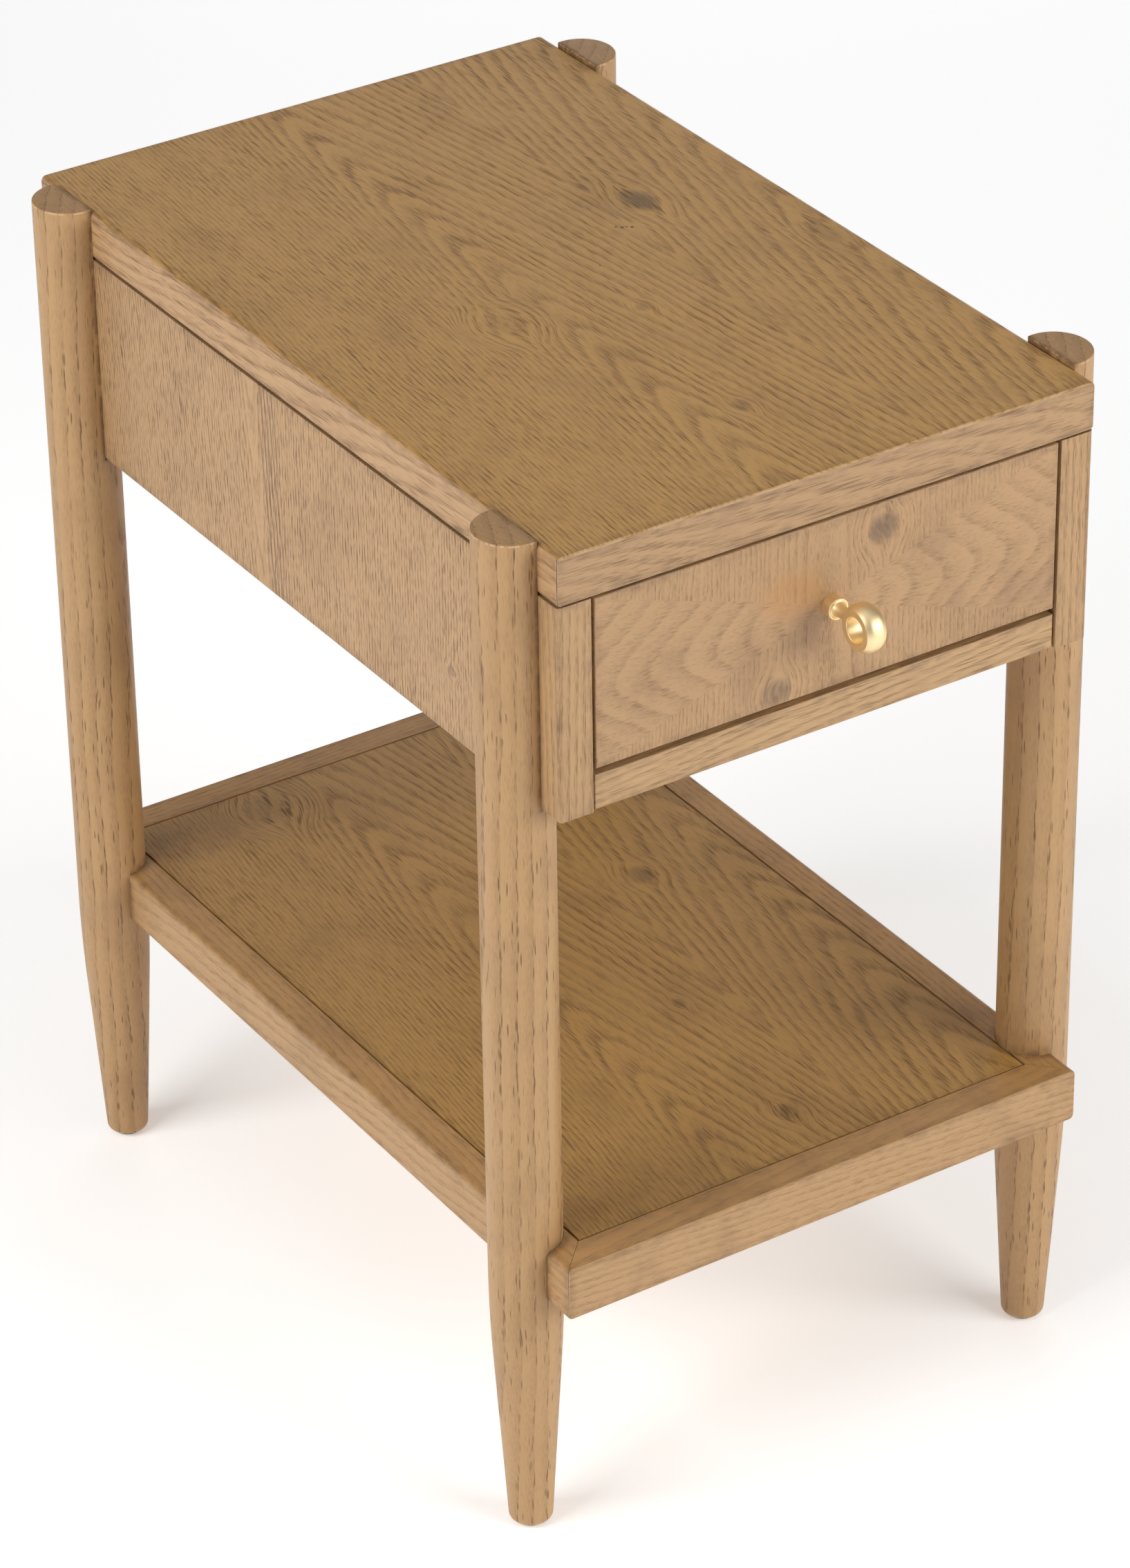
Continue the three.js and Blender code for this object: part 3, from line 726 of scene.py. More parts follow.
def shelf_side_oak():
    figure = Figure((Column(-70, 120, 0.02), ), 3.8, 0.03, wobble=0.4)
    edge = board_edge("shelf_return_front_left", "shelf_return_back_left")
    return oak("oak_shelf_side", grain_along_y, figure, SHELF_RAIL_LOOK, (), edge, shelf_frame_glaze_and_painted_shade)


def shelf_end_oak():
    figure = Figure((Column(-200, 110, 0.04), ), 3.8, 0.03, wobble=0.4)
    edge = board_edge("shelf_rail_front")
    return oak("oak_shelf_end", grain_along_x, figure, SHELF_RAIL_LOOK, (), edge, shelf_frame_glaze_and_painted_shade)


class DiamondFigure:
    """A face of four veneer triangles: upright grain above and below, level grain at the sides."""

    def __init__(self, half_width, half_height, middle_z, surface):
        self.half_width = half_width
        self.half_height = half_height
        self.middle_z = middle_z
        self.upright = Figure((Column(0, surface + 38), ), 2.5, 0.01)
        self.level = Figure((Column(0, surface + 8), ), 15, 0.75)
        self.drift = 10
        self.wobble = 3.2
        self.at_side = None

    def layout(self, f, x, y, z):
        """Across, into and along the grain of whichever triangle a point lies in."""
        height = z - self.middle_z
        self.at_side = abs(height) / self.half_height < abs(x) / self.half_width
        across = x + (height - x) * self.at_side
        along = height + (abs(x) - height) * self.at_side
        return across, y, along

    def count(self, f, across, depth, along):
        at_side = self.level.count(f, across, depth, along)
        above = self.upright.count(f, across, depth, along)
        return above + (at_side - above) * self.at_side


def drawer_face_oak():
    low, high = (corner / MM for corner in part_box("drawer_veneer"))
    figure = DiamondFigure(high.x, (high.z - low.z) / 2, (high.z + low.z) / 2, low.y)
    knots = (Knot(32, 33.6, 9.5, 9, 0.7), Knot(-33.5, -40.9, 9, 8, 0.7))
    look = Look(0.36, 0.26, 0.2, crowd=(0.1, 0.34), dash=(0.6, 6), tint=(0.92, 0.89, 0.91), cloud=0.45)
    middle_z = figure.middle_z

    def warm_patch(f, x, y, z, colour):
        reach = ((x + 24) / 26) ** 2 + ((z - middle_z - 12) / 17) ** 2
        return f.blend(f.fall(reach, 0, 1) * 0.4, colour, WARM_TONE)

    return oak("oak_drawer_face", figure.layout, figure, look, knots, board_edge("drawer_veneer"), warm_patch)


# ---- Other finishes ------------------------------------------------------------------------------


def satin_gold():
    f = Finish("satin_gold")
    x, y, z = f.place()
    grain = f.noise(f.point(x / 0.25, y / 0.25, z / 0.25), 3, 0.6)
    cloud = f.noise(f.point(x / 5, y / 5, z / 5), 2, 0.5)
    colour = f.blend(cloud, srgb(243, 214, 158), srgb(250, 230, 186))
    roughness = 0.38 + grain * 0.12 + cloud * 0.06
    return f.close(colour, roughness, grain, 0.01, Metallic=1)


def zinc_steel():
    f = Finish("zinc_steel")
    x, y, z = f.place()
    spangle = f.noise(f.point(x / 3, y / 3, z / 3), 3, 0.6)
    scuff = f.noise(f.point(x / 0.6, y / 14, z / 0.6), 3, 0.6)
    colour = f.blend(spangle, srgb(198, 199, 198), srgb(222, 222, 220))
    roughness = 0.26 + scuff * 0.2
    return f.close(colour, roughness, scuff, 0.01, Metallic=1)


def drawer_wood():
    """Pale, close-grained wood, lacquered, for the drawer box and the hidden blocks."""
    f = Finish("drawer_wood")
    x, y, z = f.place()
    streak = f.noise(f.point(x / 5, y / 60, z / 2.2), 4, 0.6)
    fibre = f.noise(f.point(x / 0.8, y / 14, z / 0.5), 3, 0.6)
    cloud = f.noise(f.point(x / 70, y / 120, z / 50), 2, 0.5)
    colour = f.blend(f.rise(streak, 0.35, 0.7), srgb(222, 199, 160), srgb(203, 175, 132))
    colour = f.blend(f.rise(fibre, 0.6, 0.8) * 0.3, colour, srgb(170, 138, 98))
    colour = f.blend(cloud * 0.25, colour, srgb(196, 165, 122))
    roughness = 0.45 + fibre * 0.15
    return f.close(colour, roughness, fibre, 0.03)


def core_board():
    f = Finish("core_board")
    x, y, z = f.place()
    chips = f.noise(f.point(x / 1.6, y / 2.4, z / 0.9), 4, 0.7)
    dust = f.noise(f.point(x / 0.4, y / 0.4, z / 0.4), 2, 0.6)
    colour = f.blend(f.rise(chips, 0.35, 0.65), srgb(176, 150, 116), srgb(146, 120, 88))
    colour = f.blend(f.rise(dust, 0.55, 0.75) * 0.4, colour, srgb(110, 88, 62))
    return f.close(colour, 0.75 + dust * 0.15, chips, 0.05)


def glide_nylon():
    f = Finish("glide_nylon")
    x, y, z = f.place()
    grain = f.noise(f.point(x / 0.5, y / 0.5, z / 0.5), 2, 0.6)
    scuff = f.noise(f.point(x / 4, y / 4, z / 4), 3, 0.6)
    colour = f.blend(f.rise(scuff, 0.45, 0.8), srgb(58, 54, 50), srgb(86, 82, 76))
    return f.close(colour, 0.5 + scuff * 0.2, grain, 0.02)


def floor_paper():
    f = Finish("floor_paper")
    x, y, z = f.place()
    tooth = f.noise(f.point(x / 3, y / 3, z / 3), 2, 0.5)
    colour = f.blend(tooth, (0.93, 0.93, 0.93, 1), (0.95, 0.95, 0.95, 1))
    glow = {"Emission_Color": (1, 1, 1, 1), "Emission_Strength": 0.34}
    return f.close(colour, 0.9, tooth, 0.01, **glow)


OAK_TOP = top_face_oak()
OAK_LIPPING_SIDE = lipping_side_oak()
OAK_LIPPING_END = lipping_end_oak()
OAK_POST = post_oak()
OAK_SIDE_PANEL = side_panel_oak()
OAK_BACK_RAIL = back_rail_oak()
OAK_LOWER_RAIL = lower_rail_oak()
OAK_LEG = leg_oak()
OAK_SHELF = shelf_face_oak()
OAK_SHELF_SIDE = shelf_side_oak()
OAK_SHELF_END = shelf_end_oak()
OAK_DRAWER = drawer_face_oak()
GOLD = satin_gold()
STEEL = zinc_steel()
PALE_WOOD = drawer_wood()
CORE = core_board()
NYLON = glide_nylon()


# ---- Tabletop ------------------------------------------------------------------------------------

def tabletop_form():
    """The outer shape of the tabletop: soft long arrises, crisp ends."""
    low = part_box("top_lipping_left")[0]
    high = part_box("top_veneer")[1]
    low.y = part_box("top_veneer")[0].y
    form = start_block("tabletop_form", (-high.x, low.y, low.z), high)
    for side in (-high.x, high.x):
        ease(form, edge_on(x=side, z=high.z), 3.4 * MM, 5)
        ease(form, edge_on(x=side, z=low.z), 2.4 * MM, 4)
    ease(form, edge_on(y=low.y), 0.7 * MM, 2)
    ease(form, edge_on(y=high.y), 2 * MM, 3)
    leave_edit_mode()
    return form


def make_tabletop():
    form = tabletop_form()
    face_low, face_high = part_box("top_veneer")
    grow = Vector((OVERSIZE, OVERSIZE, 0))
    face_high.z += OVERSIZE
    veneer = start_block("top_veneer_finished", face_low - grow, face_high + grow)
    combine(veneer, form, "INTERSECT", keep_tool=True)
    settle(veneer)
    dress(veneer, "table", "oak_top", OAK_TOP, "top_veneer")

    make_side_strips(form, face_low.z)
    make_end_strips(form, face_low.z)
    throw_away(form)


STRIP_WIDTH = 20 * MM
MITRE_LINE = 0.12 * MM  # half of the hairline at each mitre


def fit_strip(strip, form, where, material):
    """Trims an edge strip to the tabletop's shape and finishes it."""
    combine(strip, form, "INTERSECT", keep_tool=True)
    settle(strip)
    dress(strip, "table", "oak_top", material, f"top_lipping_{where}")


def make_side_strips(form, top):
    middle = table_middle_y
    for side, sx in SIDES.items():
        low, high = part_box(f"top_lipping_{side}")
        high.z = top
        strip = start_block(f"top_lipping_{side}_finished", low, high)
        outer, inner = sorted((low.x, high.x), key=abs, reverse=True)
        grown = outer + sx * OVERSIZE
        for end_y, sy in ((low.y, -1), (high.y, 1)):
            push_points(strip, lambda p: near(p.x, inner) and near(p.y, end_y), (0, -sy * STRIP_WIDTH, 0))
        push_points(strip, lambda p: near(p.x, outer), (sx * OVERSIZE, 0, 0))
        for sy in ENDS.values():
            push_points(strip, lambda p: near(p.x, grown) and (p.y - middle) * sy > 0, (0, sy * OVERSIZE, 0))
        fit_strip(strip, form, side, OAK_LIPPING_SIDE)


def make_end_strips(form, top):
    for end, sy in ENDS.items():
        low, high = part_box(f"top_lipping_{end}")
        high.z = top
        strip = start_block(f"top_lipping_{end}_finished", low, high)
        outer, inner = (low.y, high.y) if sy < 0 else (high.y, low.y)
        for sx in SIDES.values():
            push_points(strip, lambda p: near(p.y, inner) and p.x * sx > 0, (-sx * STRIP_WIDTH, 0, 0))
            grow = (sx * (OVERSIZE - MITRE_LINE), sy * OVERSIZE, 0)
            push_points(strip, lambda p: near(p.y, outer) and p.x * sx > 0, grow)
        fit_strip(strip, form, end, OAK_LIPPING_END)


# ---- Carcass -------------------------------------------------------------------------------------

def raise_tongue(piece, test):
    """Extrudes the part of a board's upper face that passes the test up to the tabletop."""
    bottom, top = shadow_gap()
    pick_faces(piece, lambda middle, normal: near(middle.z, bottom) and normal.z > 0.9 and test(middle))
    extrude((0, 0, top - bottom))


def make_post(end, sy):
    """The left post of one end."""
    low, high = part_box(f"post_{end}_left")
    high.z = shadow_gap()[0]
    outer_y = low.y if sy < 0 else high.y
    post = start_block(f"post_{end}_left_finished", low, high)
    ease(post, edge_on(x=low.x, y=outer_y), 2.2 * MM, 4)
    ease(post, edge_on(x=high.x, y=outer_y), 0.7 * MM, 2)
    ease(post, edge_on(z=low.z), 1.1 * MM, 3)
    slice_at((low.x + REBATE, 0, 0), (1, 0, 0))
    slice_at((0, outer_y - sy * REBATE, 0), (0, 1, 0))
    raise_tongue(post, lambda p: p.x > low.x + REBATE and (p.y - outer_y) * sy < -REBATE)
    return post


def make_posts():
    for end, sy in ENDS.items():
        left = make_post(end, sy)
        settle(left)
        right = copy_of(left, f"post_{end}_right_finished", mirror_x=True)
        settle(right)
        dress(left, "table", "oak_panel", OAK_POST, f"post_{end}_left")
        dress(right, "table", "oak_panel", OAK_POST, f"post_{end}_right")


def make_side_panels():
    low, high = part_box("side_panel_left")
    high.z = shadow_gap()[0]
    left = start_block("side_panel_left_finished", low, high)
    ease(left, edge_on(x=low.x, z=low.z), 0.8 * MM, 2)
    ease(left, edge_on(x=high.x, z=low.z), 0.8 * MM, 2)
    slice_at((low.x + REBATE, 0, 0), (1, 0, 0))
    raise_tongue(left, lambda p: p.x > low.x + REBATE)
    settle(left)
    right = copy_of(left, "side_panel_right_finished", mirror_x=True)
    settle(right)
    dress(left, "table", "oak_panel", OAK_SIDE_PANEL, "side_panel_left")
    dress(right, "table", "oak_panel", OAK_SIDE_PANEL, "side_panel_right")


def make_back_rail():
    low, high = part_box("back_rail")
    high.z = shadow_gap()[0]
    rail = start_block("back_rail_finished", low, high)
    ease(rail, edge_on(y=high.y, z=low.z), 0.8 * MM, 2)
    ease(rail, edge_on(y=low.y, z=low.z), 0.8 * MM, 2)
    slice_at((0, high.y - REBATE, 0), (0, 1, 0))
    raise_tongue(rail, lambda p: p.y < high.y - REBATE)
    settle(rail)
    dress(rail, "table", "oak_panel", OAK_BACK_RAIL, "back_rail")


def make_lower_rail():
    """The rail below the drawer, with a narrow groove against each post."""
    low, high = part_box("lower_front_rail")
    groove = 1.2 * MM
    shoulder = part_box("post_front_right")[0].x
    end_x = shoulder - groove
    rail = start_block("lower_front_rail_finished", (-end_x, low.y, low.z), (end_x, high.y, high.z))
    ease(rail, edge_on(y=low.y), 0.8 * MM, 3)
    ease(rail, edge_on(y=high.y, z=high.z), 0.6 * MM, 2)
    pick_faces(rail, lambda middle, normal: abs(normal.x) > 0.9)
    bpy.ops.mesh.inset(thickness=1.6 * MM)
    for sx in (-1, 1):
        pick_faces(rail, lambda middle, normal: normal.x * sx > 0.9 and near(middle.x, sx * end_x))
        pick_inner_face(rail)
        extrude((sx * groove, 0, 0))
    settle(rail)
    dress(rail, "table", "oak_panel", OAK_LOWER_RAIL, "lower_front_rail")


def pick_inner_face(piece):
    """Of the selected faces, keeps only the largest."""
    mesh = bmesh.from_edit_mesh(piece.data)
    chosen = [face for face in mesh.faces if face.select]
    largest = max(chosen, key=lambda face: face.calc_area())
    bpy.ops.mesh.select_all(action="DESELECT")
    largest.select_set(True)
    bmesh.update_edit_mesh(piece.data)


# ---- Legs ----------------------------------------------------------------------------------------


def leg_outline(low_z, high_z):
    """Radius and height of the turned leg, from the middle of the foot to the middle of the top."""
    radius = 20 * MM
    foot_radius = 11.8 * MM
    taper_top = 138 * MM
    blend = 28 * MM
    foot_round = 4 * MM
    rim = 1.1 * MM
    slope = (radius - foot_radius) / taper_top
    round_top = low_z + foot_round
    round_middle = foot_radius + slope * round_top - foot_round
    points = [(0, low_z), (round_middle * 0.6, low_z)]
    points += arc((round_middle, round_top), foot_round, -90, 0, 6)
    start = taper_top - blend
    steps = 14
    for step in range(steps + 1):
        t = step / steps
        height = start + 2 * blend * t
        points.append((foot_radius + slope * start + slope * (height - start) * (1 - t / 2), height))
    points += arc((radius - rim, high_z - rim), rim, 0, 90, 4)
    points += [(radius * 0.5, high_z), (0, high_z)]
    return points


def make_leg():
    """The front left leg: turned, then notched flat to carry the carcass."""
    low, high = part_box("leg_front_left")
    axis = ((low.x + high.x) / 2, (low.y + high.y) / 2)
    leg = turned("leg_front_left_finished", leg_outline(low.z, high.z), 96, (*axis, 0), (0, 0, 1), (1, 0, 0))
    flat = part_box("side_panel_left")[0].x
    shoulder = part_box("post_front_left")[0].z
    clear = 10 * MM
    notch = start_block("leg_notch", (flat, low.y - clear, shoulder), high + Vector((clear, clear, clear)))
    combine(leg, notch, "DIFFERENCE")
    edit(leg)
    ease(leg, edge_on(x=flat, z=high.z), 0.4 * MM, 2)
    return leg


def make_legs():
    first = make_leg()
    settle(first, 40)
    low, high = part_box("leg_front_left")
    middle = Vector(((low.x + high.x) / 2, (low.y + high.y) / 2, 0))
    to_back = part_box("leg_back_left")[0].y - low.y
    to_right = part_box("leg_front_right")[0].x - low.x
    legs = {"front_left": first}
    for where, shift, turn_about in (
        ("back_left", (0, to_back, 0), None),
        ("front_right", (to_right, 0, 0), middle),
        ("back_right", (to_right, to_back, 0), middle),
    ):
        legs[where] = copy_of(first, f"leg_{where}_finished", shift, turn_about=turn_about)
    for where, leg in legs.items():
        dress(leg, "table", "oak_leg", OAK_LEG, f"leg_{where}")


def make_glides():
    low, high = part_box("glide_front_left")
    middle = ((low.x + high.x) / 2, (low.y + high.y) / 2, 0)
    radius = (high.x - low.x) / 2
    disc, rim, nail = 1.8 * MM, 0.8 * MM, 2 * MM
    outline = [(0, 0), (radius - rim, 0)]
    outline += arc((radius - rim, rim), rim, -90, 0, 4)[1:]
    outline += [(radius, disc), (nail, disc), (nail, high.z), (0, high.z)]
    first = turned("glide_front_left_finished", outline, 48, middle, (0, 0, 1), (1, 0, 0))
    settle(first)
    glides = {"front_left": first}
    for where in ("front_right", "back_left", "back_right"):
        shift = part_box(f"glide_{where}")[0] - low
        glides[where] = copy_of(first, f"glide_{where}_finished", shift)
    for where, glide in glides.items():
        dress(glide, "table", "glide_nylon", NYLON, f"glide_{where}")


# ---- Shelf ---------------------------------------------------------------------------------------


def shelf_form():
    """The outer shape of the shelf's frame, with soft long arrises."""
    low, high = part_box("shelf_rail_front")[0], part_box("shelf_rail_back")[1]
    low.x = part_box("shelf_rail_left")[0].x
    high.x = -low.x
    form = start_block("shelf_form", low, high)
    for side in (low.x, high.x):
        ease(form, edge_on(x=side, z=high.z), 3.2 * MM, 5)
        ease(form, edge_on(x=side, z=low.z), 3 * MM, 5)
    ease(form, edge_on(y=low.y), 0.9 * MM, 3)
    ease(form, edge_on(y=high.y), 0.9 * MM, 3)
    leave_edit_mode()
    return form


def leg_tool():
    """A round cutter a little larger than the front left leg."""
    low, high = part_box("leg_front_left")
    middle = ((low.x + high.x) / 2, (low.y + high.y) / 2, 0)
    radius = (high.y - low.y) / 2 + 0.25 * MM
    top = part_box("shelf_rail_left")[1].z
    outline = [(0, top - 0.1), (radius, top - 0.1), (radius, top + 0.1), (0, top + 0.1)]
    tool = turned("leg_tool", outline, 96, middle, (0, 0, 1), (1, 0, 0))
    leave_edit_mode()
    return tool


def make_shelf_ends(form):
    side_width = 19 * MM
    for end, sy in ENDS.items():
        low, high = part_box(f"shelf_rail_{end}")
        rail = start_block(f"shelf_rail_{end}_finished", low, high)
        outer = low.y if sy < 0 else high.y
        for sx in SIDES.values():
            push_points(rail, lambda p: not near(p.y, outer) and p.x * sx > 0, (-sx * side_width, 0, 0))
            push_points(rail, lambda p: near(p.y, outer) and p.x * sx > 0, (sx * OVERSIZE, sy * OVERSIZE, 0))
        combine(rail, form, "INTERSECT", keep_tool=True)
        settle(rail)
        dress(rail, "table", "oak_shelf", OAK_SHELF_END, f"shelf_rail_{end}")


def make_shelf_sides(form, tool):
    """The side rails end in a hollow round each leg."""
    low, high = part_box("shelf_rail_left")
    reach = Vector((0, 10 * MM, 0))
    low.x -= OVERSIZE
    rail = start_block("shelf_rail_left_finished", low - reach, high + reach)
    combine(rail, tool, "DIFFERENCE", keep_tool=True)
    combine(rail, copy_of(tool, "leg_tool_back", mirror_y=True), "DIFFERENCE")
    edit(rail)
    leg_radius = 20 * MM
    for end, sy in ENDS.items():
        bpy.ops.mesh.select_all(action="SELECT")
        bpy.ops.mesh.bisect(
            plane_co=(0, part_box(f"leg_{end}_left")[0].y + leg_radius, 0),
            plane_no=(0, -sy, 0),
            use_fill=True,
            clear_inner=True,
        )
    combine(rail, form, "INTERSECT", keep_tool=True)
    settle(rail)
    mirrored = copy_of(rail, "shelf_rail_right_finished", mirror_x=True)
    settle(mirrored)
    dress(rail, "table", "oak_shelf", OAK_SHELF_SIDE, "shelf_rail_left")
    dress(mirrored, "table", "oak_shelf", OAK_SHELF_SIDE, "shelf_rail_right")


def make_shelf_returns(form, tool):
    """The short mitred corner pieces in front of and behind the legs."""
    end_width = 19.5 * MM
    low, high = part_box("shelf_return_front_left")
    corner = start_block("shelf_return_front_left_finished", low, high)
    push_points(corner, lambda p: near(p.x, high.x) and near(p.y, low.y), (0, end_width, 0))
    push_points(corner, lambda p: near(p.x, low.x) and near(p.y, low.y), (0, -OVERSIZE, 0))
    push_points(corner, lambda p: near(p.x, low.x), (-OVERSIZE, 0, 0))
    combine(corner, tool, "DIFFERENCE")
    combine(corner, form, "INTERSECT")
    settle(corner)
    returns = {"front_left": corner}
    for where, mirrors in (
        ("front_right", {"mirror_x": True}),
        ("back_left", {"mirror_y": True}),
        ("back_right", {"mirror_x": True, "mirror_y": True}),
    ):
        returns[where] = copy_of(corner, f"shelf_return_{where}_finished", **mirrors)
    for where, piece in returns.items():
        settle(piece)
        dress(piece, "table", "oak_shelf", OAK_SHELF_SIDE, f"shelf_return_{where}")


def make_shelf_frame():
    form = shelf_form()
    tool = leg_tool()
    make_shelf_ends(form)
    make_shelf_sides(form, tool)
    make_shelf_returns(form, tool)


def make_shelf_panel():
    """The panel: its face stops at a narrow groove, and a tongue below it fills the frame."""
    low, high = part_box("shelf_panel")
    tongue = 0.5 * MM
    groove = 1.4 * MM
    depth = 2 * MM
    fill = Vector((groove - tongue, groove - tongue, 0))
    panel = start_block("shelf_panel_finished", low - fill, high + fill - Vector((0, 0, depth)))
    pick_faces(panel, lambda middle, normal: normal.z > 0.9)
    bpy.ops.mesh.inset(thickness=groove)
    extrude((0, 0, depth))
    ease(panel, edge_on(z=high.z), 0.35 * MM, 2)
    settle(panel)
    dress(panel, "table", "oak_shelf", OAK_SHELF, "shelf_panel")


# ---- Drawer --------------------------------------------------------------------------------------


def make_drawer_front():
    low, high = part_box("drawer_front")
    face_low, face_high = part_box("drawer_veneer")
    form = start_block("drawer_form", face_low, high)
    ease(form, edge_on(y=face_low.y), 1.1 * MM, 3)
    ease(form, edge_on(y=high.y), 0.5 * MM, 2)
    leave_edit_mode()
    grow = Vector((OVERSIZE, 0, OVERSIZE))
    proud = Vector((0, OVERSIZE, 0))
    veneer = start_block("drawer_veneer_finished", face_low - grow - proud, face_high + grow)
    combine(veneer, form, "INTERSECT", keep_tool=True)
    low.y = face_high.y
    board = start_block("drawer_front_finished", low - grow, high + grow)
    combine(board, form, "INTERSECT")
    settle(veneer)
    settle(board)
    dress(veneer, "drawer", "oak_panel", OAK_DRAWER, "drawer_veneer")
    dress(board, "drawer", "oak_panel", OAK_LOWER_RAIL, "drawer_front")


def make_drawer_box():
    for node, edge_radius, steps in (
        ("drawer_side_left", 1.6 * MM, 4),
        ("drawer_side_right", 1.6 * MM, 4),
        ("drawer_box_front", 0.8 * MM, 3),
        ("drawer_back", 0.8 * MM, 3),
        ("drawer_bottom", 0.8 * MM, 3),
    ):
        low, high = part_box(node)
        piece = start_block(f"{node}_finished", low, high)
        ease(piece, edge_on(z=high.z), edge_radius, steps)
        if "side" in node:
            ease(piece, edge_on(z=low.z), 0.6 * MM, 2)
        settle(piece)
        dress(piece, "drawer", "drawer_wood", PALE_WOOD, node)


# ---- Knob ----------------------------------------------------------------------------------------


def knob_stem_outline():
    """The base washer and the waisted stem: radius and distance from the drawer front."""
    washer, seat, waist, flare, length = 6, 5.9, 3.2, 4.6, 18.6
    outline = [(0, -0.3), (washer, -0.3), (washer, seat)]
    outline += arc((washer - 0.4, seat), 0.4, 0, 90, 3)[1:]
    outline += [(5.1, 6.3), (4.9, seat), (4.3, 6.3), (3.85, 7.4), (3.5, 8.8), (3.3, 10.4), (waist, 12)]
    outline += [(3.3, 13.6), (3.6, 15), (4.2, 16.4), (flare, 17.6), (flare, length), (0, length)]
    return outline


def knob_ring_outline():
    """The section of the ring, with a crowned rim: radius and distance across its width."""
    half, crown, face, hole = 5.9, 13, 11.1, 7.1
    inner, outer = 0.5, 0.3  # radii of the corners at the hole and at the rim
    outline = arc((hole + inner, -half + inner), inner, 180, 270, 3)
    outline += arc((face - outer, -half + outer), outer, -90, -20, 3)
    for step in range(1, 12):
        along = -1 + step / 6
        outline.append((crown - (crown - face) * abs(along) ** 2.8, half * along * 0.97))
    outline += arc((face - outer, half - outer), outer, 20, 90, 3)
    outline += arc((hole + inner, half - inner), inner, 90, 180, 3)
    outline.append(outline[0])
    return outline


def in_metres(outline):
    return [(radius * MM, distance * MM) for radius, distance in outline]


def make_knob():
    low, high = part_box("knob")
    reach = 28.2 * MM  # from the drawer front to the middle of the ring
    seat = (0, high.y, (low.z + high.z) / 2)
    centre = (0, high.y - reach, seat[2])
    knob = turned("knob_finished", in_metres(knob_stem_outline()), 64, seat, (0, -1, 0), (1, 0, 0))
    ring = turned("knob_ring", in_metres(knob_ring_outline()), 96, centre, (1, 0, 0), (0, 0, 1))
    leave_edit_mode()
    combine(knob, ring, "UNION")
    settle(knob, 30)
    dress(knob, "drawer", "satin_gold", GOLD, "knob")


# ---- Runners, ball cages, screws and blocks ------------------------------------------------------


def folded_sheet(name, section, start_y, end_y, gauge):
    """Folded sheet metal: the section is (x, z) points along the middle of the sheet."""
    piece = start_chain(name, [Vector((x, start_y, z)) for x, z in section])
    extrude((0, end_y - start_y, 0))
    close_seams()
    apply_modifier(piece, "SOLIDIFY", thickness=gauge, offset=0)
    return piece


def channel_section(web_x, tip_x, low_z, high_z, radius, lip):
    """Half-round corners at the web, and lips that turn in again at the tips."""
    way = 1 if web_x > tip_x else -1
    corner_x = web_x - way * radius
    lip_x = tip_x + way * lip
    bend = quarter(5)
    lower = [(lip_x - way * lip * math.sin(t), low_z + lip - lip * math.cos(t)) for t in reversed(bend)]
    lower += [(corner_x + way * radius * math.sin(t), low_z + radius - radius * math.cos(t)) for t in bend]
    upper = [(x, low_z + high_z - z) for x, z in reversed(lower)]
    return lower + upper


def quarter(steps):
    return [math.pi / 2 * step / steps for step in range(steps + 1)]


def oblong_cutter(low, high):
    """A slot cutter with round ends, lying across the web of a runner."""
    cutter = start_block("slot_cutter", low, high)
    radius = (high[2] - low[2]) / 2 * 0.98
    pick_edges(cutter, lambda a, b: near(a.y, b.y) and near(a.z, b.z))
    bpy.ops.mesh.bevel(offset=radius, segments=5, affect="EDGES")
    leave_edit_mode()
    return cutter


def make_channel(node, web_x, tip_x, margin, gauge, radius, lip, slots=()):
    """The right-hand channel of a node, with oblong screw slots in its web."""
    low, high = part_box(node)
    inset = gauge / 2 + margin
    section = channel_section(web_x, tip_x, low.z + inset, high.z - inset, radius, lip)
    piece = folded_sheet(f"{node}_finished", section, low.y, high.y, gauge)
    middle_z = (low.z + high.z) / 2
    for along in slots:
        corner = (web_x - 3 * MM, low.y + along - 6 * MM, middle_z - 2.3 * MM)
        opposite = (web_x + 3 * MM, low.y + along + 6 * MM, middle_z + 2.3 * MM)
        combine(piece, oblong_cutter(corner, opposite), "DIFFERENCE")
    return piece


def half_turn(steps):
    return [math.pi * step / steps for step in range(steps + 1)]


def make_ball(name, centre, radius):
    outline = [(radius * math.sin(t), -radius * math.cos(t)) for t in half_turn(8)]
    return turned(name, outline, 14, centre, (0, 0, 1), (1, 0, 0))


def add_balls(cage, ball_x, rows, low_y, high_y):
    """Two rows of balls, held in the flanges of the cage."""
    radius = 1.8 * MM
    end_gap = 8 * MM
    count = 6
    pitch = (high_y - low_y - 2 * end_gap) / (count - 1)
    first = make_ball("ball", (ball_x, low_y + end_gap, rows[0]), radius)
    leave_edit_mode()
    places = [(0, pitch * place, row - rows[0]) for row in rows for place in range(count)]
    balls = [first] + [copy_of(first, "ball", shift) for shift in places[1:]]
    work_on(first)
    for ball in balls:
        ball.select_set(True)
    bpy.ops.object.join()
    combine(cage, first, "UNION")


def both_sides(right, body, material, node, smooth=35):
    """Finishes the right-hand piece and adds its mirror image on the left."""
    slot = "zinc_steel" if material is STEEL else "drawer_wood"
    settle(right, smooth)
    left = copy_of(right, f"{node}_left_finished", mirror_x=True)
    settle(left, smooth)
    dress(right, body, slot, material, f"{node}_right")
    dress(left, body, slot, material, f"{node}_left")


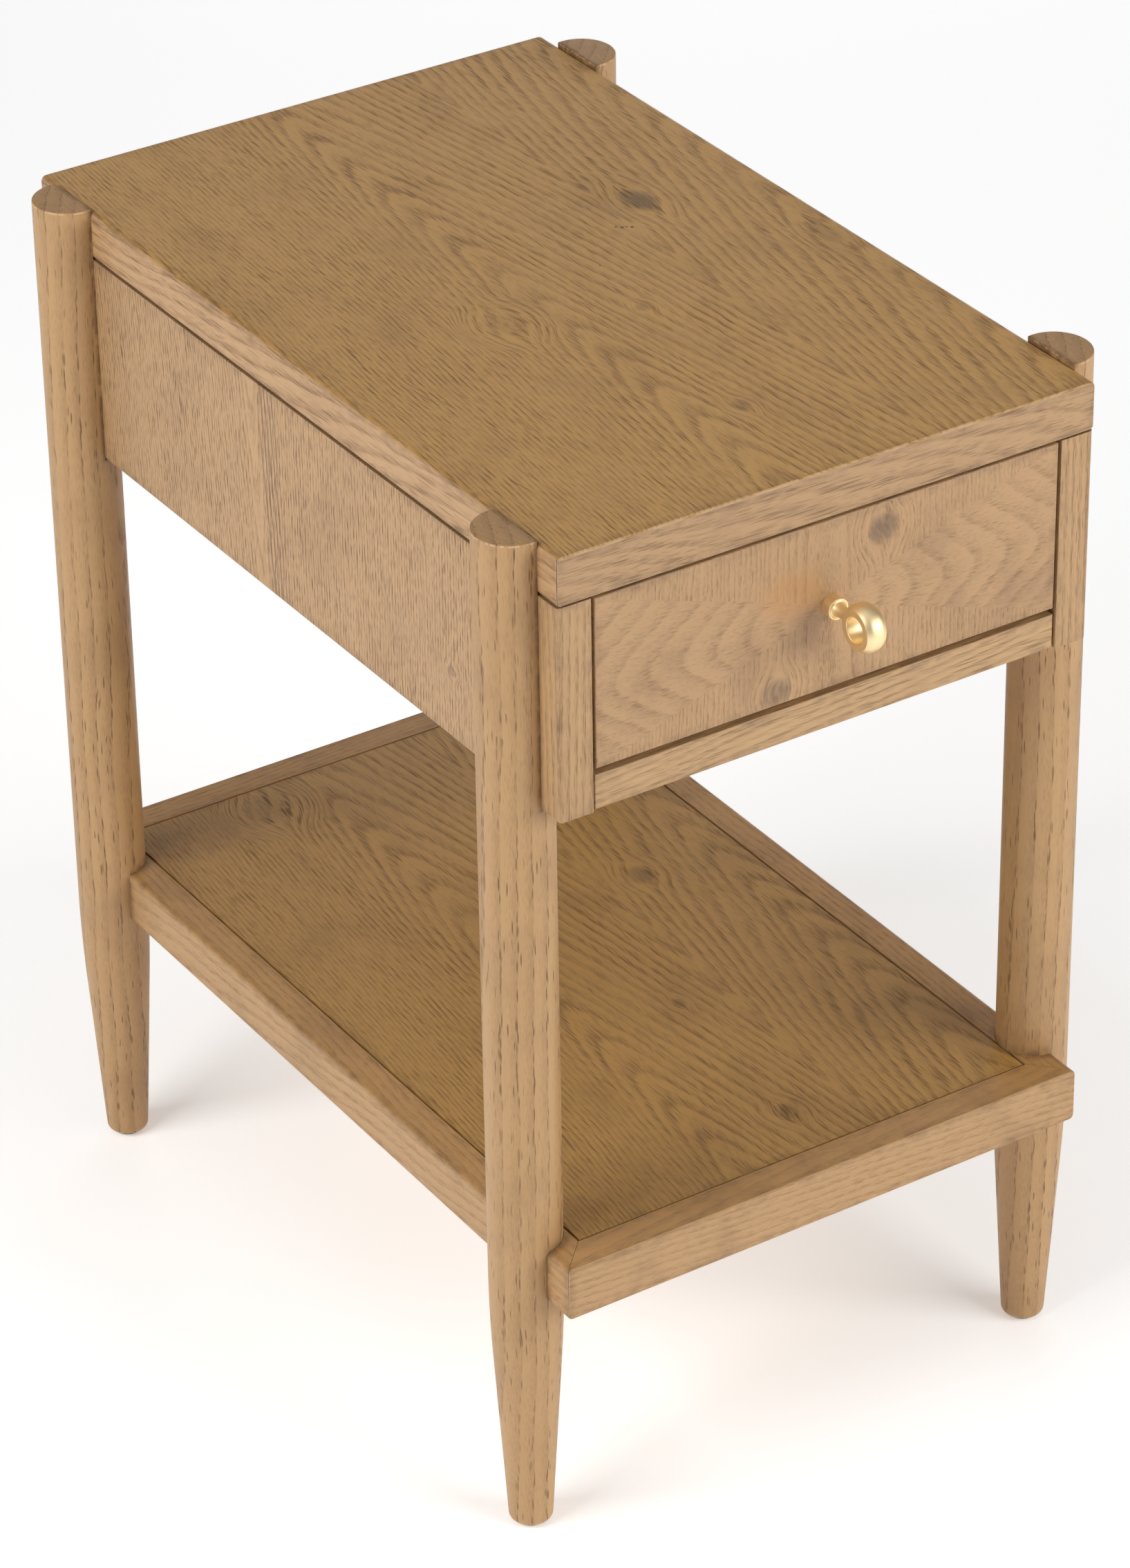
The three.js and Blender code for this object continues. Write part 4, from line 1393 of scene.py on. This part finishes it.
def make_runners():
    slots = [30 * MM, 130 * MM, 250 * MM, 370 * MM]
    sheet = 1.2 * MM
    low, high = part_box("runner_outer_right")
    web, tip = high.x - sheet / 2, low.x + sheet / 2
    outer = make_channel("runner_outer_right", web, tip, 0, sheet, 1.8 * MM, 1.8 * MM, slots)
    both_sides(outer, "table", STEEL, "runner_outer")

    low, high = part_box("runner_inner_right")
    web, tip = low.x + sheet / 2, high.x - sheet / 2
    inner = make_channel("runner_inner_right", web, tip, 0, sheet, 1.6 * MM, 0.2 * MM, slots)
    both_sides(inner, "drawer", STEEL, "runner_inner")

    low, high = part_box("ball_cage_right")
    sheet = 0.8 * MM
    web, tip = high.x - sheet / 2, low.x + sheet / 2 + 0.8 * MM
    cage = make_channel("ball_cage_right", web, tip, 0.1 * MM, sheet, 1 * MM, 0.2 * MM)
    rows = (low.z + 0.5 * MM, high.z - 0.5 * MM)
    add_balls(cage, (low.x + high.x) / 2 - 0.6 * MM, rows, low.y, high.y)
    both_sides(cage, "ball_cages", STEEL, "ball_cage")


def pan_screw(name, seat, along, size):
    """A domed screw with a cross recess; along points from its head to its tip."""
    head_radius, head_height, radius, length = size
    seat, along = Vector(seat), Vector(along)
    rim = head_height * 0.35
    outline = [(head_radius * math.sin(t), -rim - (head_height - rim) * math.cos(t)) for t in quarter(6)]
    outline += [(head_radius * 0.97, 0), (radius, 0)]
    pitch = 1.1 * MM
    point = 2 * MM
    turns = int((length * 0.55) / pitch)
    start = length - point - turns * pitch
    for turn in range(turns):
        outline += [(radius, start + turn * pitch), (radius * 0.82, start + (turn + 0.5) * pitch)]
    outline += [(radius, length - point), (radius * 0.3, length), (0, length)]
    across = along.orthogonal().normalized()
    screw = turned(name, outline, 40, seat, along, across)
    leave_edit_mode()
    arm = head_radius * 0.62
    blade = head_radius * 0.13
    upright = along.cross(across)
    for first, second in ((across, upright), (upright, across)):
        reach = first * arm + second * blade + along * (head_height * 0.6)
        corners = [seat - along * head_height + reach, seat - along * head_height - reach]
        low = [min(pair) for pair in zip(*corners)]
        high = [max(pair) for pair in zip(*corners)]
        cutter = start_block("recess_cutter", low, high)
        leave_edit_mode()
        combine(screw, cutter, "DIFFERENCE")
    return screw


# Sizes of a screw: head radius, head height, shank radius and length under the head.
Screw = namedtuple("Screw", "head_radius head_height radius length")
LEG_BOLT = Screw(6 * MM, 3.5 * MM, 3 * MM, 32 * MM)
FRONT_SCREW = Screw(4 * MM, 2 * MM, 2 * MM, 26 * MM)
KNOB_SCREW = Screw(4.5 * MM, 2.2 * MM, 2 * MM, 39 * MM)


def screw_in_place(node, size, along):
    """A screw in a node's place, with the top of its head at the node's near end."""
    low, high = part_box(node)
    seat = (low + high) / 2
    axis = 0 if along[0] else 1
    seat[axis] = high[axis] - size.head_height
    return pan_screw(f"{node}_finished", seat, along, size)


def finish_screw(screw, body, node):
    settle(screw, 35)
    dress(screw, body, "zinc_steel", STEEL, node)


def make_screws():
    bolt = screw_in_place("leg_bolt_front_left", LEG_BOLT, (-1, 0, 0))
    settle(bolt, 35)
    depth = Vector((0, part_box("leg_bolt_back_left")[0].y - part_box("leg_bolt_front_left")[0].y, 0))
    bolts = {"front_left": bolt}
    for where, shift, mirrored in (
        ("back_left", depth, False),
        ("front_right", Vector(), True),
        ("back_right", depth, True),
    ):
        bolts[where] = copy_of(bolt, f"leg_bolt_{where}_finished", shift, mirror_x=mirrored)
    for where, piece in bolts.items():
        finish_screw(piece, "table", f"leg_bolt_{where}")

    left = screw_in_place("front_screw_left", FRONT_SCREW, (0, -1, 0))
    settle(left, 35)
    right = copy_of(left, "front_screw_right_finished", mirror_x=True)
    finish_screw(left, "drawer", "front_screw_left")
    finish_screw(right, "drawer", "front_screw_right")
    finish_screw(screw_in_place("knob_screw", KNOB_SCREW, (0, -1, 0)), "drawer", "knob_screw")


def make_blocks():
    low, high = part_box("top_cleat_right")
    cleat = start_block("top_cleat_right_finished", low, high)
    ease(cleat, edge_on(x=low.x), 1 * MM, 2)
    ease(cleat, edge_on(z=low.z, x=high.x), 0.5 * MM, 1)
    both_sides(cleat, "table", PALE_WOOD, "top_cleat")

    low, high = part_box("corner_block_right")
    block = start_block("corner_block_right_finished", low, high)
    bpy.ops.mesh.select_all(action="SELECT")
    bpy.ops.mesh.bisect(plane_co=(low.x, high.y, 0), plane_no=(1, 1, 0), use_fill=True, clear_inner=True)
    pick_edges(block, lambda a, b: near(a.z, b.z))
    bpy.ops.mesh.bevel(offset=0.8 * MM, segments=2, affect="EDGES")
    both_sides(block, "table", PALE_WOOD, "corner_block")


# ---- CAD nodes that keep their shape --------------------------------------------------------------


def coat(material, *nodes):
    for node in nodes:
        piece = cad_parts[node]
        piece.data.materials.clear()
        piece.data.materials.append(material)


def coat_kept_nodes():
    """The board core and the dowels are closed in on all sides, and stay as they are."""
    coat(CORE, "top_core")
    coat(PALE_WOOD, *[f"shelf_dowel_{end}_{side}" for end in ENDS for side in SIDES])


# ---- Stage ---------------------------------------------------------------------------------------


FLOOR_SIZE = 40


def make_floor():
    bpy.ops.object.select_all(action="DESELECT")
    bpy.ops.mesh.primitive_plane_add(size=FLOOR_SIZE)
    floor = bpy.context.object
    floor.name = "floor"
    floor.data.materials.append(floor_paper())


def add_light(name, place, target, size, power):
    lamp = bpy.data.lights.new(name, "AREA")
    lamp.shape = "RECTANGLE"
    lamp.size, lamp.size_y = size
    lamp.energy = power
    light = bpy.data.objects.new(name, lamp)
    bpy.context.scene.collection.objects.link(light)
    light.location = place
    light.rotation_euler = (Vector(target) - Vector(place)).to_track_quat("-Z", "Y").to_euler()


def light_stage():
    world = bpy.data.worlds.new("studio")
    world.use_nodes = True
    world.node_tree.nodes["Background"].inputs["Color"].default_value = (1, 1, 1, 1)
    world.node_tree.nodes["Background"].inputs["Strength"].default_value = 0.14
    bpy.context.scene.world = world
    middle = (0, 0, 0.35)
    add_light("front_panel", (1.4, -2.5, 1.5), middle, (2.2, 1.6), 57)
    add_light("left_panel", (-2.55, 0.0, 2.05), middle, (2.0, 1.6), 60)
    add_light("back_panel", (1.6, 2.2, 0.9), middle, (2.0, 1.2), 10)
    add_light("top_panel", (-0.2, -0.4, 3.0), middle, (2.5, 2.5), 14)
    bpy.context.scene.view_settings.view_transform = "Standard"


def make_camera():
    """A long lens from the front left, a little above the tabletop."""
    azimuth, elevation, roll = math.radians(-32.56), math.radians(31.53), math.radians(-0.91)
    distance = 3.15216
    aim_x, aim_ahead, aim_height = -0.01894, 0.03816, 0.32115
    target = Vector((aim_x, table_middle_y - aim_ahead, aim_height))
    level = math.cos(elevation)
    back = Vector((math.sin(azimuth) * level, -math.cos(azimuth) * level, math.sin(elevation)))
    camera = bpy.data.objects.new("camera", bpy.data.cameras.new("camera"))
    camera.data.lens = 132.5
    camera.data.sensor_width = 36
    camera.rotation_mode = "QUATERNION"
    camera.location = target + back * distance
    camera.rotation_quaternion = (-back).to_track_quat("-Z", "Y") @ Quaternion((0, 0, 1), roll)
    bpy.context.scene.collection.objects.link(camera)
    bpy.context.scene.camera = camera


make_tabletop()
make_posts()
make_side_panels()
make_back_rail()
make_lower_rail()
make_legs()
make_glides()
make_shelf_frame()
make_shelf_panel()
make_drawer_front()
make_drawer_box()
make_knob()
make_runners()
make_screws()
make_blocks()
coat_kept_nodes()
make_floor()
light_stage()
make_camera()

leave_edit_mode()
